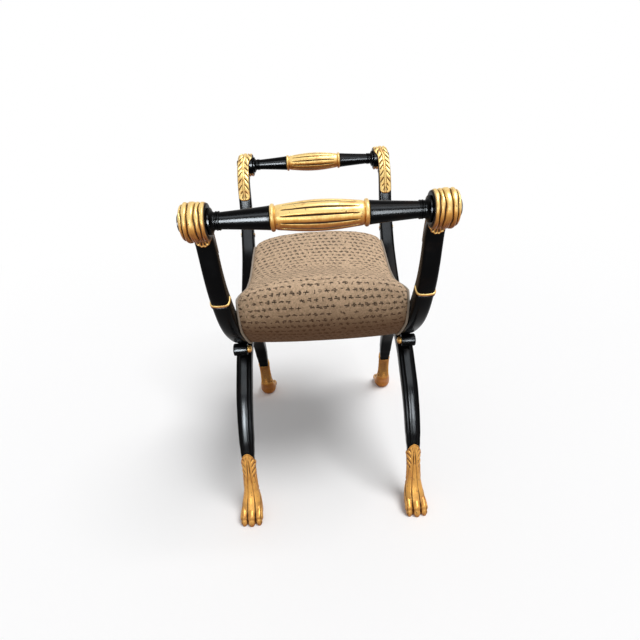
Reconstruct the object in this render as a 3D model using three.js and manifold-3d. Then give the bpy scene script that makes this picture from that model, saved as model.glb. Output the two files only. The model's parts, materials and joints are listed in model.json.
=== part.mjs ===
// X frame stool with scrolled arms: two ebonised X frames, turned and fluted gilt arm rails,
// gilt scroll leaves and paw feet, and a fully upholstered dished seat between the frames.
// Millimetres, Z up. X runs across from frame to frame, Y along the stool, front is -Y.
// The origin is on the floor under the middle of the stool.
import * as THREE from 'three';
import { mergeVertices } from 'three/addons/utils/BufferGeometryUtils.js';
import Module from 'manifold-3d';

const wasm = await Module();
wasm.setup();

// Driving dimensions
const frameSpacing = 370; // between the middle planes of the two X frames
const railSpan = 612; // between the axes of the front and rear arm rails
const railHeight = 695; // arm rail axes above the floor
const footSpread = 548; // over the claws of the front and rear feet
const crossHeight = 346; // underside of the upper curve at the middle of a frame
const memberWidth = 35; // frame members across X
const upperDepth = 40; // upper curve at its deepest
const legDepth = 36; // leg at its deepest
const crownDepth = 18; // leg arch below the upper curve at the middle of a frame
const fitGap = 0.3; // between seated or glued faces
const cutOverrun = 20; // how far a cutting solid runs past what it cuts

// Shapes of the frame members
// Upper curve, from its lowest point out to the scroll. A row holds shares of half the rail
// span, of the rise to the rail axis, of the upper depth and of the member width.
const upperShares = [
  [0.0, 0.0, 1.0, 1.0],
  [0.142, 0.018, 1.0, 1.0],
  [0.25, 0.06, 1.05, 1.0],
  [0.349, 0.126, 1.1, 1.0],
  [0.503, 0.246, 1.06, 1.0],
  [0.602, 0.35, 0.95, 0.98],
  [0.676, 0.463, 0.85, 0.96],
  [0.73, 0.561, 0.77, 0.94],
  [0.772, 0.677, 0.68, 0.92],
  [0.801, 0.796, 0.59, 0.91],
  [0.82, 0.857, 0.57, 0.91],
  [0.853, 0.918, 0.56, 0.93],
  [0.899, 0.963, 0.56, 0.97],
  [0.948, 0.991, 0.55, 1.0],
];
const upperSteps = 18; // sections along the upper curve
// Leg, from the crown of the arch down to the ankle. A row holds shares of half the foot
// spread, of the arch height, of the leg depth and of the member width.
const legShares = [
  [0.0, 1.0, 1.0, 1.0],
  [0.109, 0.988, 1.0, 1.0],
  [0.2, 0.958, 1.0, 1.0],
  [0.296, 0.912, 1.0, 1.0],
  [0.369, 0.858, 0.98, 1.0],
  [0.442, 0.803, 0.96, 1.0],
  [0.511, 0.748, 0.94, 0.99],
  [0.569, 0.685, 0.91, 0.97],
  [0.62, 0.621, 0.88, 0.95],
  [0.661, 0.549, 0.86, 0.93],
  [0.697, 0.477, 0.84, 0.91],
  [0.73, 0.399, 0.82, 0.9],
  [0.758, 0.319, 0.8, 0.89],
];
const legSteps = 13; // sections along a leg
// Half outlines of the member sections: shares of half the width and half the depth. The
// upper curve is a softened block, the leg has a raised middle band on its outer face.
const upperSectionShares = [
  [0.0, 1.0],
  [0.7, 0.93],
  [1.0, 0.64],
  [1.0, -0.7],
  [0.78, -0.96],
  [0.0, -1.0],
];
const legSectionShares = [
  [0.0, 1.0],
  [0.48, 0.95],
  [0.54, 0.78],
  [0.96, 0.58],
  [1.0, -0.72],
  [0.8, -1.0],
];

// Gilt band across the outer face of each upright
const bandPlaceShare = 0.492; // along the upper curve
const bandLength = 5.5; // along the upright
const bandProud = 1.8; // over the upright
const bandRoundShares = [[-1, 0.5], [-0.6, 1], [0.6, 1], [1, 0.5]]; // half lengths, heights
const bandReachShare = 0.3; // of half the depth: it covers the outer face and its corners

// Scroll at the top of each upright
const drumRadius = 25; // black core that the leaf wraps
const drumWidth = 37;
const scrollInset = 4; // middle of the drum inboard of the frame's middle plane
const drumFacets = 20;
const railHoleRadius = 7.3; // for the tenon of the arm rail
// Gilt leaf: up the inner face of the upright, round the drum and on to the outer face
const leafTipStep = 12; // section of the upper curve where the inner leaf starts
const leafNeckStep = 17; // section where it runs on to the drum
const leafHeight = 5.2; // over the drum
const leafThin = 2.6; // over the upright
const leafRoot = 4; // how far the raw leaf reaches into what it wraps
const leafHalfWidth = 18.4; // on the drum
const tongueHalfWidth = 15.8; // on the upright
const leafTurnLead = THREE.MathUtils.degToRad(20); // from facing as the neck's inner face does
const leafTurn = THREE.MathUtils.degToRad(284); // round the drum, over its top to its underside
const leafTurnSteps = 10;
// Across the leaf: share of its half width, share of its height
const leafReedShares = [
  [-1.0, 0.4],
  [-0.72, 0.9],
  [-0.38, 0.62],
  [0, 1.05],
  [0.36, 0.62],
  [0.62, 0.85],
  [1.0, 0.3],
];
const tongueWidthShares = [0.55, 0.9, 1.0, 1.0, 1.0, 1.08]; // from the tip to the drum
const ruffEndStep = 14; // section where the ruff ends on the outer face
const ruffWidthShares = [1.1, 1.04, 0.94, 0.8, 0.42]; // from under the drum to the end

// Roll in the angle between the upper curve and each leg
const rollRadius = 14;
const rollFacets = 16;
const rollPlaceShare = 0.136; // along the upper curve
const rollInnerSet = 12; // inner end from the middle plane of the frame
const rollOuterSet = 20; // outer end from the middle plane of the frame
const rollEndRound = 2; // rounding of the outer end
const buttonRadius = 8.5; // gilt button on the inner end
const buttonHeight = 9;
const buttonRimShare = 0.3; // straight part of its height
const buttonFacets = 10;

// Paw foot
const ankleCutHeight = 139; // where the black leg meets the gilt ankle
const ankleCutSlope = THREE.MathUtils.degToRad(38); // the gilding reaches higher in front
const ankleTenonRadius = 7;
const ankleTenonLength = 18;
const pawLength = 62; // heel to claws
const pawHalfWidth = 25;
const pawHeight = 54; // top of the instep
// Ankle, down from the cut. A row holds shares of half the foot spread, of the arch height,
// of half the member width (X) and of half the leg depth (along Y).
const ankleShares = [
  [0.686, 0.5, 0.95, 0.84],
  [0.709, 0.45, 0.97, 0.84],
  [0.735, 0.385, 0.97, 0.84],
  [0.76, 0.31, 0.94, 0.82],
  [0.779, 0.235, 0.96, 0.86],
  [0.8, 0.165, 1.11, 1.0],
  [0.835, 0.11, 1.28, 1.2],
  [0.87, 0.06, 1.32, 1.35],
];
const ankleFacets = 10;
// Pad under the paw: shares of the paw length from the heel, height, half width
const padShares = [
  [0.0, 0.1, 0.45],
  [0.06, 0.34, 0.7],
  [0.25, 0.5, 0.86],
  [0.5, 0.62, 0.96],
  [0.72, 0.5, 0.98],
  [0.86, 0.3, 0.9],
];
const padFacets = 10;
// Toe, from the instep to the claw: share of the paw length from the heel, share of the paw
// height, share of the toe radius
const toeShares = [
  [0.42, 0.72, 0.8],
  [0.56, 0.66, 1.05],
  [0.68, 0.5, 0.86],
  [0.8, 0.34, 1.06],
  [0.91, 0.2, 0.8],
  [0.975, 0.08, 0.3],
];
const toeRadius = 8.6;
const toeFacets = 8;
const toeLeanShare = 0.6; // of a toe section's radius, leaning back
const toePlaceShares = [-0.67, 0, 0.67]; // across the half width of the paw

// Turned arm rail: two black shafts tenoned into a gilt fluted barrel
const ringCentre = 68; // gilt end rings of the barrel from the middle of the rail
const ringWidth = 6.5;
const ringRadius = 20.5;
const barrelEndRadius = 17.5;
const barrelMidRadius = 23;
const barrelFluteDepth = 1.6;
const barrelFlutes = 12;
const barrelFacetsPerFlute = 2;
const barrelBodyShares = [0.0, 0.14, 0.34, 0.5, 0.66, 0.86, 1.0]; // stations along the body
const barrelBoreRadius = 8.3;
const barrelTenonLength = 24;
const barrelTenonRadius = 8;
const shaftInnerRadius = 16;
const shaftOuterRadius = 12.8;
const beadPlaces = [146.5, 151]; // middles of the two beads from the middle of the rail
const beadRadius = 14;
const beadHalfWidth = 2;
const bellStart = 154;
const bellRadius = 18; // where the bell stands against the drum
const bellRim = 2.4;
const railTenonRadius = 7;
const shaftFacets = 14;
// Black button that closes the rail outside each scroll
const endButtonRadius = 13;
const endButtonHeight = 4.6;
const endButtonRimShare = 0.4;
const endButtonSocket = 3; // how far the rail tenon reaches into it

// Seat
const seatHalfLength = 178;
const panelHeight = 163; // of a side panel, from its bottom to its front and rear corners
const seatUnderhang = 1; // seat bottom below the underside of the upper curve
const seatCrown = 38; // rise of the top from the piping to the middle
const seatEndBulge = 10;
const seatUnderBulge = 7;
// Side panel: shares of half the seat length and of the panel height, from the middle of the
// top, round the end, to the middle of the bottom
const panelShares = [
  [0.0, 0.798],
  [0.24, 0.818],
  [0.47, 0.882],
  [0.72, 0.955],
  [0.88, 0.992],
  [0.955, 0.996],
  [0.99, 0.935],
  [1.0, 0.828],
  [0.985, 0.7],
  [0.925, 0.56],
  [0.79, 0.41],
  [0.66, 0.282],
  [0.49, 0.141],
  [0.28, 0.043],
  [0.0, 0.0],
];
const panelTopRows = 6; // rows of the top edge
const panelBottomRow = 9; // first row of the bottom edge
const panelPoints = 32; // round the panel
const seatStationShares = [0, 0.35, 0.65, 0.86]; // across half the seat
const crownPower = 0.45; // fullness of the crown across X
const pipingRadius = 2.4;
const pipingFacets = 6;
const stuffingDepth = 46; // from the top edge of the panels down to the webbing
const endStuffing = 38; // between the cavity under the stuffing and the ends of the seat
const mouthSet = 62; // from the cavity's end to its opening, which the dust cover closes
const seatSkin = 3; // cloth and wadding outside the seat boards
const boardThickness = 18;
const endRailThickness = 22; // along Y
const endRailDepth = 28; // along Z
const endRailSet = 14; // middle of an end rail from the end of the cavity
const webbingThickness = 3;
const dustCoverThickness = 2;
const dustCoverSet = 1; // recess of the dust cover
const curveSteps = 14; // facets along the curved seat parts
// Screws that hold the seat boards to the frames, and dowels in the frame joints
const screwPlaceShare = 0.78; // of half the length of the cavity in the seat
const screwShankRadius = 2.5;
const screwHeadRadius = 4.5;
const screwHeadHeight = 3;
const screwBite = 21; // into the frame member
const screwFacets = 8;
const crossDowelRadius = 6; // joins the two halves of the upper curve
const crossDowelHalfLength = 30;
const legDowelRadius = 4; // joins each leg to the upper curve
const legDowelPlace = 34; // from the middle of the frame
const legDowelReach = 14; // into each of the two members
const dowelFacets = 12;

// Derived sizes
const halfSpan = railSpan / 2;
const halfSpread = footSpread / 2;
const halfWidth = memberWidth / 2;
const upperLow = crossHeight + upperDepth / 2;
const archHeight = crossHeight - crownDepth + legDepth / 2;
const seatHalfWidth = frameSpacing / 2 - halfWidth - fitGap;
const seatLow = crossHeight - seatUnderhang;
const cavityHalfLength = seatHalfLength - endStuffing;
const mouthHalfLength = cavityHalfLength - mouthSet;
const endRailPlace = cavityHalfLength - endRailSet;
const drumInner = -scrollInset - drumWidth / 2; // cheeks of a drum from the frame's middle plane
const drumOuter = -scrollInset + drumWidth / 2;

// Materials
function material(color, roughness, metalness = 0) {
  return new THREE.MeshStandardMaterial({ color, roughness, metalness });
}
const ebonised = material(0x15110f, 0.22);
const gilding = material(0xc8913f, 0.36, 0.85);
const cloth = material(0x9a8672, 0.95);
const cord = material(0xa39a8e, 0.85);
const bareWood = material(0xb98f5f, 0.7);
const webbing = material(0x8a7a5c, 0.9);
const lining = material(0x2b2622, 0.95);
const steel = material(0x9a9a98, 0.35, 0.9);

// Solids from geometry and back
function toSolid(geometry) {
  const plain = geometry.clone();
  plain.deleteAttribute('normal');
  plain.deleteAttribute('uv');
  const merged = mergeVertices(plain);
  const mesh = new wasm.Mesh({
    numProp: 3,
    vertProperties: merged.attributes.position.array,
    triVerts: new Uint32Array(merged.index.array),
  });
  return new wasm.Manifold(mesh);
}

function toGeometry(solid) {
  const mesh = solid.getMesh();
  const geometry = new THREE.BufferGeometry();
  geometry.setAttribute('position', new THREE.BufferAttribute(mesh.vertProperties, 3));
  geometry.setIndex(new THREE.BufferAttribute(mesh.triVerts, 1));
  geometry.computeVertexNormals();
  return geometry;
}

// Turns a closed geometry so that its faces point outward
function outward(geometry) {
  const { array } = geometry.attributes.position;
  const index = geometry.index.array;
  const [a, b, c] = [new THREE.Vector3(), new THREE.Vector3(), new THREE.Vector3()];
  let volume = 0;
  for (let i = 0; i < index.length; i += 3) {
    a.fromArray(array, index[i] * 3);
    b.fromArray(array, index[i + 1] * 3);
    c.fromArray(array, index[i + 2] * 3);
    volume += a.dot(b.cross(c));
  }
  if (volume < 0) {
    for (let i = 0; i < index.length; i += 3) {
      [index[i + 1], index[i + 2]] = [index[i + 2], index[i + 1]];
    }
  }
  return geometry;
}

// Closed solid through a row of rings that hold as many points each, in the same order. An
// open row gets a fan at each end.
function loft(rings, closed = false) {
  const count = rings[0].length;
  const points = rings.flat();
  const faces = [];
  const spans = closed ? rings.length : rings.length - 1;
  for (let i = 0; i < spans; i += 1) {
    const here = i * count;
    const next = ((i + 1) % rings.length) * count;
    for (let j = 0; j < count; j += 1) {
      const k = (j + 1) % count;
      faces.push(here + j, next + j, next + k, here + j, next + k, here + k);
    }
  }
  if (!closed) {
    for (const end of [0, rings.length - 1]) {
      const middle = new THREE.Vector3();
      rings[end].forEach((point) => middle.add(point));
      points.push(middle.divideScalar(count));
      for (let j = 0; j < count; j += 1) {
        const side = [end * count + j, end * count + ((j + 1) % count)];
        if (end > 0) side.reverse();
        faces.push(points.length - 1, ...side);
      }
    }
  }
  const geometry = new THREE.BufferGeometry().setFromPoints(points);
  geometry.setIndex(faces);
  outward(geometry);
  geometry.computeVertexNormals();
  return geometry;
}

// Straight slab: an outline of [y, z] points carried along X
function slab(outline, from, to) {
  const shape = new THREE.Shape(outline.map(([y, z]) => new THREE.Vector2(y, z)));
  const geometry = new THREE.ExtrudeGeometry(shape, { depth: to - from, bevelEnabled: false });
  const turn = new THREE.Matrix4().set(0, 0, 1, from, 1, 0, 0, 0, 0, 1, 0, 0, 0, 0, 0, 1);
  return geometry.applyMatrix4(turn);
}

// Cylinder along X between two places, at [y, z]
function pegAlongX(radius, from, to, [y, z], facets) {
  const geometry = new THREE.CylinderGeometry(radius, radius, to - from, facets);
  geometry.rotateZ(-Math.PI / 2);
  return geometry.translate((from + to) / 2, y, z);
}

// Turned solid about the X axis from a profile of [x, radius] points that starts and ends on
// the axis or closes on itself
function turned(profile, facets) {
  const points = profile.map(([x, radius]) => new THREE.Vector2(radius, x));
  const geometry = new THREE.LatheGeometry(points, facets);
  geometry.rotateZ(-Math.PI / 2);
  geometry.deleteAttribute('normal');
  geometry.deleteAttribute('uv');
  const merged = outward(mergeVertices(geometry));
  merged.computeVertexNormals();
  return merged;
}

// Curves of the frame
function valueAt(rows, share, column) {
  const place = share * (rows.length - 1);
  const row = Math.min(Math.floor(place), rows.length - 2);
  return THREE.MathUtils.lerp(rows[row][column], rows[row + 1][column], place - row);
}

function frameCurve(rows, reach, low, rise) {
  const points = rows.map(([y, z]) => new THREE.Vector3(0, y * reach, low + z * rise));
  return new THREE.CatmullRomCurve3(points, false, 'centripetal');
}

const upperCurve = frameCurve(upperShares, halfSpan, upperLow, railHeight - upperLow);
const legCurve = frameCurve(legShares, halfSpread, 0, archHeight);

// Both curves are level at the middle of a frame, where the front and rear halves meet
function alongCurve(curve, share) {
  return share > 0 ? curve.getTangent(share) : new THREE.Vector3(0, 1, 0);
}

// Share along a curve up to which its points are short of a place
function shareWhere(curve, isShort) {
  let [low, high] = [0, 1];
  while (high - low > Number.EPSILON * 8) {
    const middle = (low + high) / 2;
    if (isShort(curve.getPoint(middle))) low = middle;
    else high = middle;
  }
  return low;
}

// Place on the upper curve: its point, the direction away from the seat, and half its sizes
function upperAt(share) {
  const point = upperCurve.getPoint(share);
  const along = alongCurve(upperCurve, share);
  return {
    point,
    away: new THREE.Vector3(0, along.z, -along.y),
    depth: (valueAt(upperShares, share, 2) * upperDepth) / 2,
    width: valueAt(upperShares, share, 3) * halfWidth,
  };
}

function legAt(share) {
  const point = legCurve.getPoint(share);
  const along = alongCurve(legCurve, share);
  return {
    point,
    away: new THREE.Vector3(0, -along.z, along.y),
    depth: (valueAt(legShares, share, 2) * legDepth) / 2,
    width: valueAt(legShares, share, 3) * halfWidth,
  };
}

// Ring of a member's section at one place, grown by a clearance
function sectionRing(place, shares, grow) {
  const otherHalf = shares.filter(([u]) => u > 0).reverse().map(([u, v]) => [-u, v]);
  return [...shares, ...otherHalf].map(([u, v]) => place.point.clone()
    .addScaledVector(place.away, v * (place.depth + grow))
    .add(new THREE.Vector3(u * (place.width + grow), 0, 0)));
}

// Upper curve of a frame, front or rear half, with the drum of its scroll. Grown by a
// clearance, it cuts its seat into the pieces that touch it.
function upperSolid(grow) {
  const rings = [];
  for (let i = 0; i <= upperSteps; i += 1) {
    rings.push(sectionRing(upperAt(i / upperSteps), upperSectionShares, grow));
  }
  const drum = pegAlongX(
    drumRadius + grow, drumInner - grow, drumOuter + grow, [halfSpan, railHeight], drumFacets);
  return toSolid(loft(rings)).add(toSolid(drum));
}

const rollPlace = upperAt(rollPlaceShare);
const rollCentre = rollPlace.point.clone()
  .addScaledVector(rollPlace.away, rollPlace.depth + rollRadius + fitGap);
const screwPlace = upperCurve.getPoint(
  shareWhere(upperCurve, (point) => point.y < screwPlaceShare * cavityHalfLength));

function uprightShape() {
  const railHole = pegAlongX(
    railHoleRadius, drumInner - cutOverrun, drumOuter + cutOverrun, [halfSpan, railHeight],
    shaftFacets);
  const screwHole = pegAlongX(
    screwShankRadius + fitGap, -memberWidth, screwBite - halfWidth + fitGap,
    [screwPlace.y, screwPlace.z], screwFacets);
  const dowelHole = crossDowelSolid(fitGap);
  return toGeometry(upperSolid(0)
    .subtract(toSolid(railHole))
    .subtract(toSolid(screwHole))
    .subtract(dowelHole)
    .subtract(legDowelSolid(fitGap)));
}

// Dowels
function crossDowelSolid(grow) {
  const half = crossDowelHalfLength + grow;
  const dowel = new THREE.CylinderGeometry(
    crossDowelRadius + grow, crossDowelRadius + grow, half * 2, dowelFacets);
  return toSolid(dowel.translate(0, 0, upperLow));
}

function legDowelSolid(grow) {
  const reach = legDowelReach + grow;
  const dowel = new THREE.CylinderGeometry(
    legDowelRadius + grow, legDowelRadius + grow, reach * 2, dowelFacets);
  dowel.rotateX(Math.PI / 2);
  return toSolid(dowel.translate(0, legDowelPlace, crossHeight));
}

// Gilt band, cut off where it would turn on to the inner face
function bandShape() {
  const middle = upperAt(bandPlaceShare);
  const along = new THREE.Vector3(0, -middle.away.z, middle.away.y);
  const inner = middle.point.clone().addScaledVector(middle.away, middle.depth * bandReachShare);
  const block = new THREE.BoxGeometry(memberWidth * 2, upperDepth * 2, upperDepth * 2);
  block.translate(0, -upperDepth, 0).rotateX(Math.atan2(middle.away.z, middle.away.y));
  block.translate(0, inner.y, inner.z);
  const rings = bandRoundShares.map(([lengthShare, heightShare]) => {
    const place = { ...middle, point: middle.point.clone() };
    place.point.addScaledVector(along, (lengthShare * bandLength) / 2);
    return sectionRing(place, upperSectionShares, heightShare * bandProud);
  });
  return toGeometry(toSolid(loft(rings)).subtract(upperSolid(fitGap)).subtract(toSolid(block)));
}

// Gilt leaf
function leafRing(point, away, width, height, shift) {
  const top = leafReedShares.map(([u, v]) => point.clone()
    .addScaledVector(away, v * height)
    .add(new THREE.Vector3(shift + u * width, 0, 0)));
  const root = [1, -1].map((side) => point.clone()
    .addScaledVector(away, -leafRoot)
    .add(new THREE.Vector3(shift + side * width, 0, 0)));
  return [...top, ...root];
}

function leafShape() {
  const wrap = [];
  tongueWidthShares.forEach((width, i) => {
    const share = i / (leafNeckStep - leafTipStep);
    const place = upperAt((leafTipStep + i) / upperSteps);
    const inward = place.away.clone().negate();
    const point = place.point.clone().addScaledVector(inward, place.depth);
    wrap.push(leafRing(point, inward, width * tongueHalfWidth, leafThin, -scrollInset * share));
  });
  const centre = new THREE.Vector3(0, halfSpan, railHeight);
  const neck = upperAt(leafNeckStep / upperSteps).away;
  const turnStart = Math.atan2(-neck.z, -neck.y) + leafTurnLead;
  for (let i = 0; i <= leafTurnSteps; i += 1) {
    const angle = turnStart - (leafTurn * i) / leafTurnSteps;
    const away = new THREE.Vector3(0, Math.cos(angle), Math.sin(angle));
    const point = centre.clone().addScaledVector(away, drumRadius);
    wrap.push(leafRing(point, away, leafHalfWidth, leafHeight, -scrollInset));
  }
  const ruff = ruffWidthShares.map((width, i) => {
    const share = i / (upperSteps - ruffEndStep);
    const place = upperAt((upperSteps - i) / upperSteps);
    const point = place.point.clone().addScaledVector(place.away, place.depth);
    return leafRing(
      point, place.away, width * tongueHalfWidth, leafThin, -scrollInset * (1 - share));
  });
  return toGeometry(toSolid(loft(wrap)).add(toSolid(loft(ruff))).subtract(upperSolid(fitGap)));
}

// Block to cut with: everything below or above a plane through [y, z] that slopes along Y
function halfSpace(side, slope, [y, z]) {
  const block = new THREE.BoxGeometry(footSpread, footSpread, footSpread);
  block.translate(0, 0, (side * footSpread) / 2);
  block.rotateX(slope);
  return toSolid(block.translate(0, y, z));
}

const ankleCutShare = shareWhere(legCurve, (point) => point.z > ankleCutHeight);
const ankleCutPoint = legCurve.getPoint(ankleCutShare);
const ankleAlong = legCurve.getTangent(ankleCutShare);

function ankleTenon(grow) {
  const tenon = new THREE.CylinderGeometry(
    ankleTenonRadius + grow, ankleTenonRadius + grow, (ankleTenonLength + grow) * 2, dowelFacets);
  tenon.applyQuaternion(new THREE.Quaternion().setFromUnitVectors(
    new THREE.Vector3(0, 1, 0), ankleAlong));
  return toSolid(tenon.translate(0, ankleCutPoint.y, ankleCutPoint.z));
}

function legShape() {
  const rings = [];
  for (let i = 0; i <= legSteps; i += 1) {
    rings.push(sectionRing(legAt(i / legSteps), legSectionShares, 0));
  }
  const rollSeat = pegAlongX(
    rollRadius + fitGap, -memberWidth, memberWidth, [rollCentre.y, rollCentre.z], rollFacets);
  return toGeometry(toSolid(loft(rings))
    .subtract(halfSpace(-1, ankleCutSlope, [ankleCutPoint.y, ankleCutPoint.z + fitGap]))
    .add(ankleTenon(0))
    .subtract(upperSolid(fitGap))
    .subtract(toSolid(rollSeat))
    .subtract(legDowelSolid(fitGap)));
}

// Roll and its gilt button
function rollShape() {
  const profile = [
    [-rollInnerSet, 0],
    [-rollInnerSet, rollRadius],
    [rollOuterSet - rollEndRound, rollRadius],
    [rollOuterSet, rollRadius - rollEndRound * 2],
    [rollOuterSet, 0],
  ];
  return turned(profile, rollFacets).translate(0, rollCentre.y, rollCentre.z);
}

function domeProfile(base, height, radius, rimShare) {
  const rim = height * rimShare;
  const profile = [[base, 0], [base, radius], [base + rim, radius]];
  const angle = Math.PI / 4;
  profile.push([base + rim + (height - rim) * Math.sin(angle), radius * Math.cos(angle)]);
  profile.push([base + height, 0]);
  return profile;
}

function rollButtonShape() {
  const profile = domeProfile(rollInnerSet + fitGap, buttonHeight, buttonRadius, buttonRimShare);
  const button = turned(profile, buttonFacets).rotateZ(Math.PI);
  return button.translate(0, rollCentre.y, rollCentre.z);
}

// Paw foot
function ellipseRing(centre, across, up, facets) {
  const ring = [];
  for (let j = 0; j < facets; j += 1) {
    const angle = (j / facets) * Math.PI * 2;
    ring.push(centre.clone()
      .addScaledVector(across, Math.cos(angle))
      .addScaledVector(up, Math.sin(angle)));
  }
  return ring;
}

function pawShape() {
  const heel = halfSpread - pawLength;
  const ankle = ankleShares.map(([y, z, u, v]) => ellipseRing(
    new THREE.Vector3(0, y * halfSpread, z * archHeight),
    new THREE.Vector3(u * halfWidth, 0, 0),
    new THREE.Vector3(0, (v * legDepth) / 2, 0),
    ankleFacets));
  let paw = toSolid(loft(ankle));
  const pad = padShares.map(([y, z, u]) => ellipseRing(
    new THREE.Vector3(0, heel + y * pawLength, 0),
    new THREE.Vector3(u * pawHalfWidth, 0, 0),
    new THREE.Vector3(0, 0, z * pawHeight),
    padFacets));
  paw = paw.add(toSolid(loft(pad)));
  for (const place of toePlaceShares) {
    const toe = toeShares.map(([y, z, radius]) => ellipseRing(
      new THREE.Vector3(place * pawHalfWidth, heel + y * pawLength, z * pawHeight),
      new THREE.Vector3(radius * toeRadius, 0, 0),
      new THREE.Vector3(0, radius * toeRadius * toeLeanShare, radius * toeRadius),
      toeFacets));
    paw = paw.add(toSolid(loft(toe)));
  }
  return toGeometry(paw
    .subtract(halfSpace(-1, 0, [halfSpread, 0]))
    .subtract(halfSpace(1, ankleCutSlope, [ankleCutPoint.y, ankleCutPoint.z]))
    .subtract(ankleTenon(fitGap)));
}

// Arm rail
function shaftShape() {
  const start = ringCentre + ringWidth / 2 + fitGap;
  const cheek = frameSpacing / 2 + drumInner - fitGap;
  const tenonEnd = frameSpacing / 2 + drumOuter + fitGap + endButtonSocket;
  const beads = beadPlaces.flatMap((place) => [
    [place - beadHalfWidth, shaftOuterRadius],
    [place, beadRadius],
    [place + beadHalfWidth, shaftOuterRadius],
  ]);
  const bellMiddle = (bellStart + cheek) / 2;
  return turned([
    [start - barrelTenonLength, 0],
    [start - barrelTenonLength, barrelTenonRadius],
    [start, barrelTenonRadius],
    [start, shaftInnerRadius],
    ...beads,
    [bellStart + fitGap, shaftOuterRadius],
    [bellMiddle, (shaftOuterRadius + bellRadius) / 2],
    [cheek - bellRim, bellRadius],
    [cheek, bellRadius],
    [cheek, railTenonRadius],
    [tenonEnd, railTenonRadius],
    [tenonEnd, 0],
  ], shaftFacets);
}

function barrelShape() {
  const bodyEnd = ringCentre - ringWidth / 2;
  const facets = barrelFlutes * barrelFacetsPerFlute;
  const ringAt = (x, radius, flute) => {
    const ring = [];
    for (let j = 0; j < facets; j += 1) {
      const angle = (j / facets) * Math.PI * 2;
      const deep = j % barrelFacetsPerFlute === 0 ? 0 : flute;
      ring.push(new THREE.Vector3(
        x, (radius - deep) * Math.cos(angle), (radius - deep) * Math.sin(angle)));
    }
    return ring;
  };
  const rings = [
    ringAt(-bodyEnd - ringWidth, ringRadius - ringWidth / 3, 0),
    ringAt(-ringCentre, ringRadius, 0),
    ringAt(-bodyEnd, ringRadius - ringWidth / 3, 0),
  ];
  for (const share of barrelBodyShares) {
    const x = THREE.MathUtils.lerp(-bodyEnd + fitGap, bodyEnd - fitGap, share);
    const swell = Math.sin(share * Math.PI);
    const radius = THREE.MathUtils.lerp(barrelEndRadius, barrelMidRadius, swell);
    rings.push(ringAt(x, radius, share % 1 === 0 ? 0 : barrelFluteDepth));
  }
  rings.push(
    ringAt(bodyEnd, ringRadius - ringWidth / 3, 0),
    ringAt(ringCentre, ringRadius, 0),
    ringAt(bodyEnd + ringWidth, ringRadius - ringWidth / 3, 0));
  const sockets = [-1, 1].map((side) => {
    const mouth = ringCentre + ringWidth / 2 + fitGap;
    const ends = [side * (mouth - barrelTenonLength - fitGap), side * (mouth + cutOverrun)];
    return toSolid(pegAlongX(
      barrelBoreRadius, Math.min(...ends), Math.max(...ends), [0, 0], shaftFacets));
  });
  return toGeometry(toSolid(loft(rings)).subtract(sockets[0]).subtract(sockets[1]));
}

function endButtonShape() {
  const base = frameSpacing / 2 + drumOuter + fitGap;
  const socket = endButtonSocket + fitGap;
  const dome = domeProfile(base, endButtonHeight, endButtonRadius, endButtonRimShare).slice(1);
  return turned([
    [base + socket, 0],
    [base + socket, railTenonRadius + fitGap],
    [base, railTenonRadius + fitGap],
    ...dome,
  ], shaftFacets);
}

// Seat
const panelHalf = panelShares.map(([y, z]) => new THREE.Vector3(
  0, y * seatHalfLength, seatLow + z * panelHeight));
const panelRest = panelHalf.slice(1, -1).reverse()
  .map((point) => new THREE.Vector3(0, -point.y, point.z));
const panelCurve = new THREE.CatmullRomCurve3([...panelHalf, ...panelRest], true, 'centripetal');

// Point on the panel's outline and the direction out of the panel there
function panelAt(share) {
  const point = panelCurve.getPointAt(share);
  const along = panelCurve.getTangentAt(share);
  return { point, out: new THREE.Vector3(0, along.z, -along.y).negate() };
}

function pipingLoop() {
  const rings = [];
  for (let i = 0; i < panelPoints; i += 1) {
    const { point, out } = panelAt(i / panelPoints);
    const centre = new THREE.Vector3(seatHalfWidth - pipingRadius, point.y, point.z);
    rings.push(ellipseRing(
      centre,
      new THREE.Vector3(pipingRadius, 0, 0),
      out.clone().multiplyScalar(pipingRadius),
      pipingFacets));
  }
  return loft(rings, true);
}

// Top and bottom of the seat boards and panels at one place along Y
function panelEdge(y, upper) {
  const rows = panelShares.slice(...(upper ? [0, panelTopRows] : [panelBottomRow]));
  if (!upper) rows.reverse();
  const share = Math.min(Math.abs(y) / seatHalfLength, rows[rows.length - 1][0]);
  const next = Math.max(rows.findIndex((row) => row[0] >= share), 1);
  const [from, to] = [rows[next - 1], rows[next]];
  const height = THREE.MathUtils.mapLinear(share, from[0], to[0], from[1], to[1]);
  return seatLow + height * panelHeight;
}

// Outline between two curved edges, [y, z] points from end to end and back
function curvedOutline(halfLength, bottom, top) {
  const ys = [];
  for (let i = 0; i <= curveSteps; i += 1) ys.push((i / curveSteps * 2 - 1) * halfLength);
  return [...ys.map((y) => [y, bottom(y)]), ...ys.reverse().map((y) => [y, top(y)])];
}

const webbingTop = (y) => panelEdge(y, true) - stuffingDepth;
const webbingBottom = (y) => webbingTop(y) - webbingThickness;
const boardTop = (y) => webbingBottom(y) - fitGap;
const coverBottom = (y) => panelEdge(y, false) + dustCoverSet;
const coverTop = (y) => coverBottom(y) + dustCoverThickness;
const boardBottom = (y) => Math.max(coverTop(y), panelEdge(y, false) + seatSkin) + fitGap;
const cavityBottom = (y) => panelEdge(y, false) + seatSkin;
const cavityHalfWidth = seatHalfWidth - seatSkin;
const boardOuter = cavityHalfWidth - fitGap;
const boardInner = boardOuter - boardThickness;
const innerHalfLength = cavityHalfLength - fitGap;
const coverHalfWidth = seatHalfWidth - (pipingRadius + fitGap) * 2;

// Section of the cushion across X: swollen between the seams, and drawn in outside them
const seamPlace = seatHalfWidth - pipingRadius * 2 - fitGap;

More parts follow.
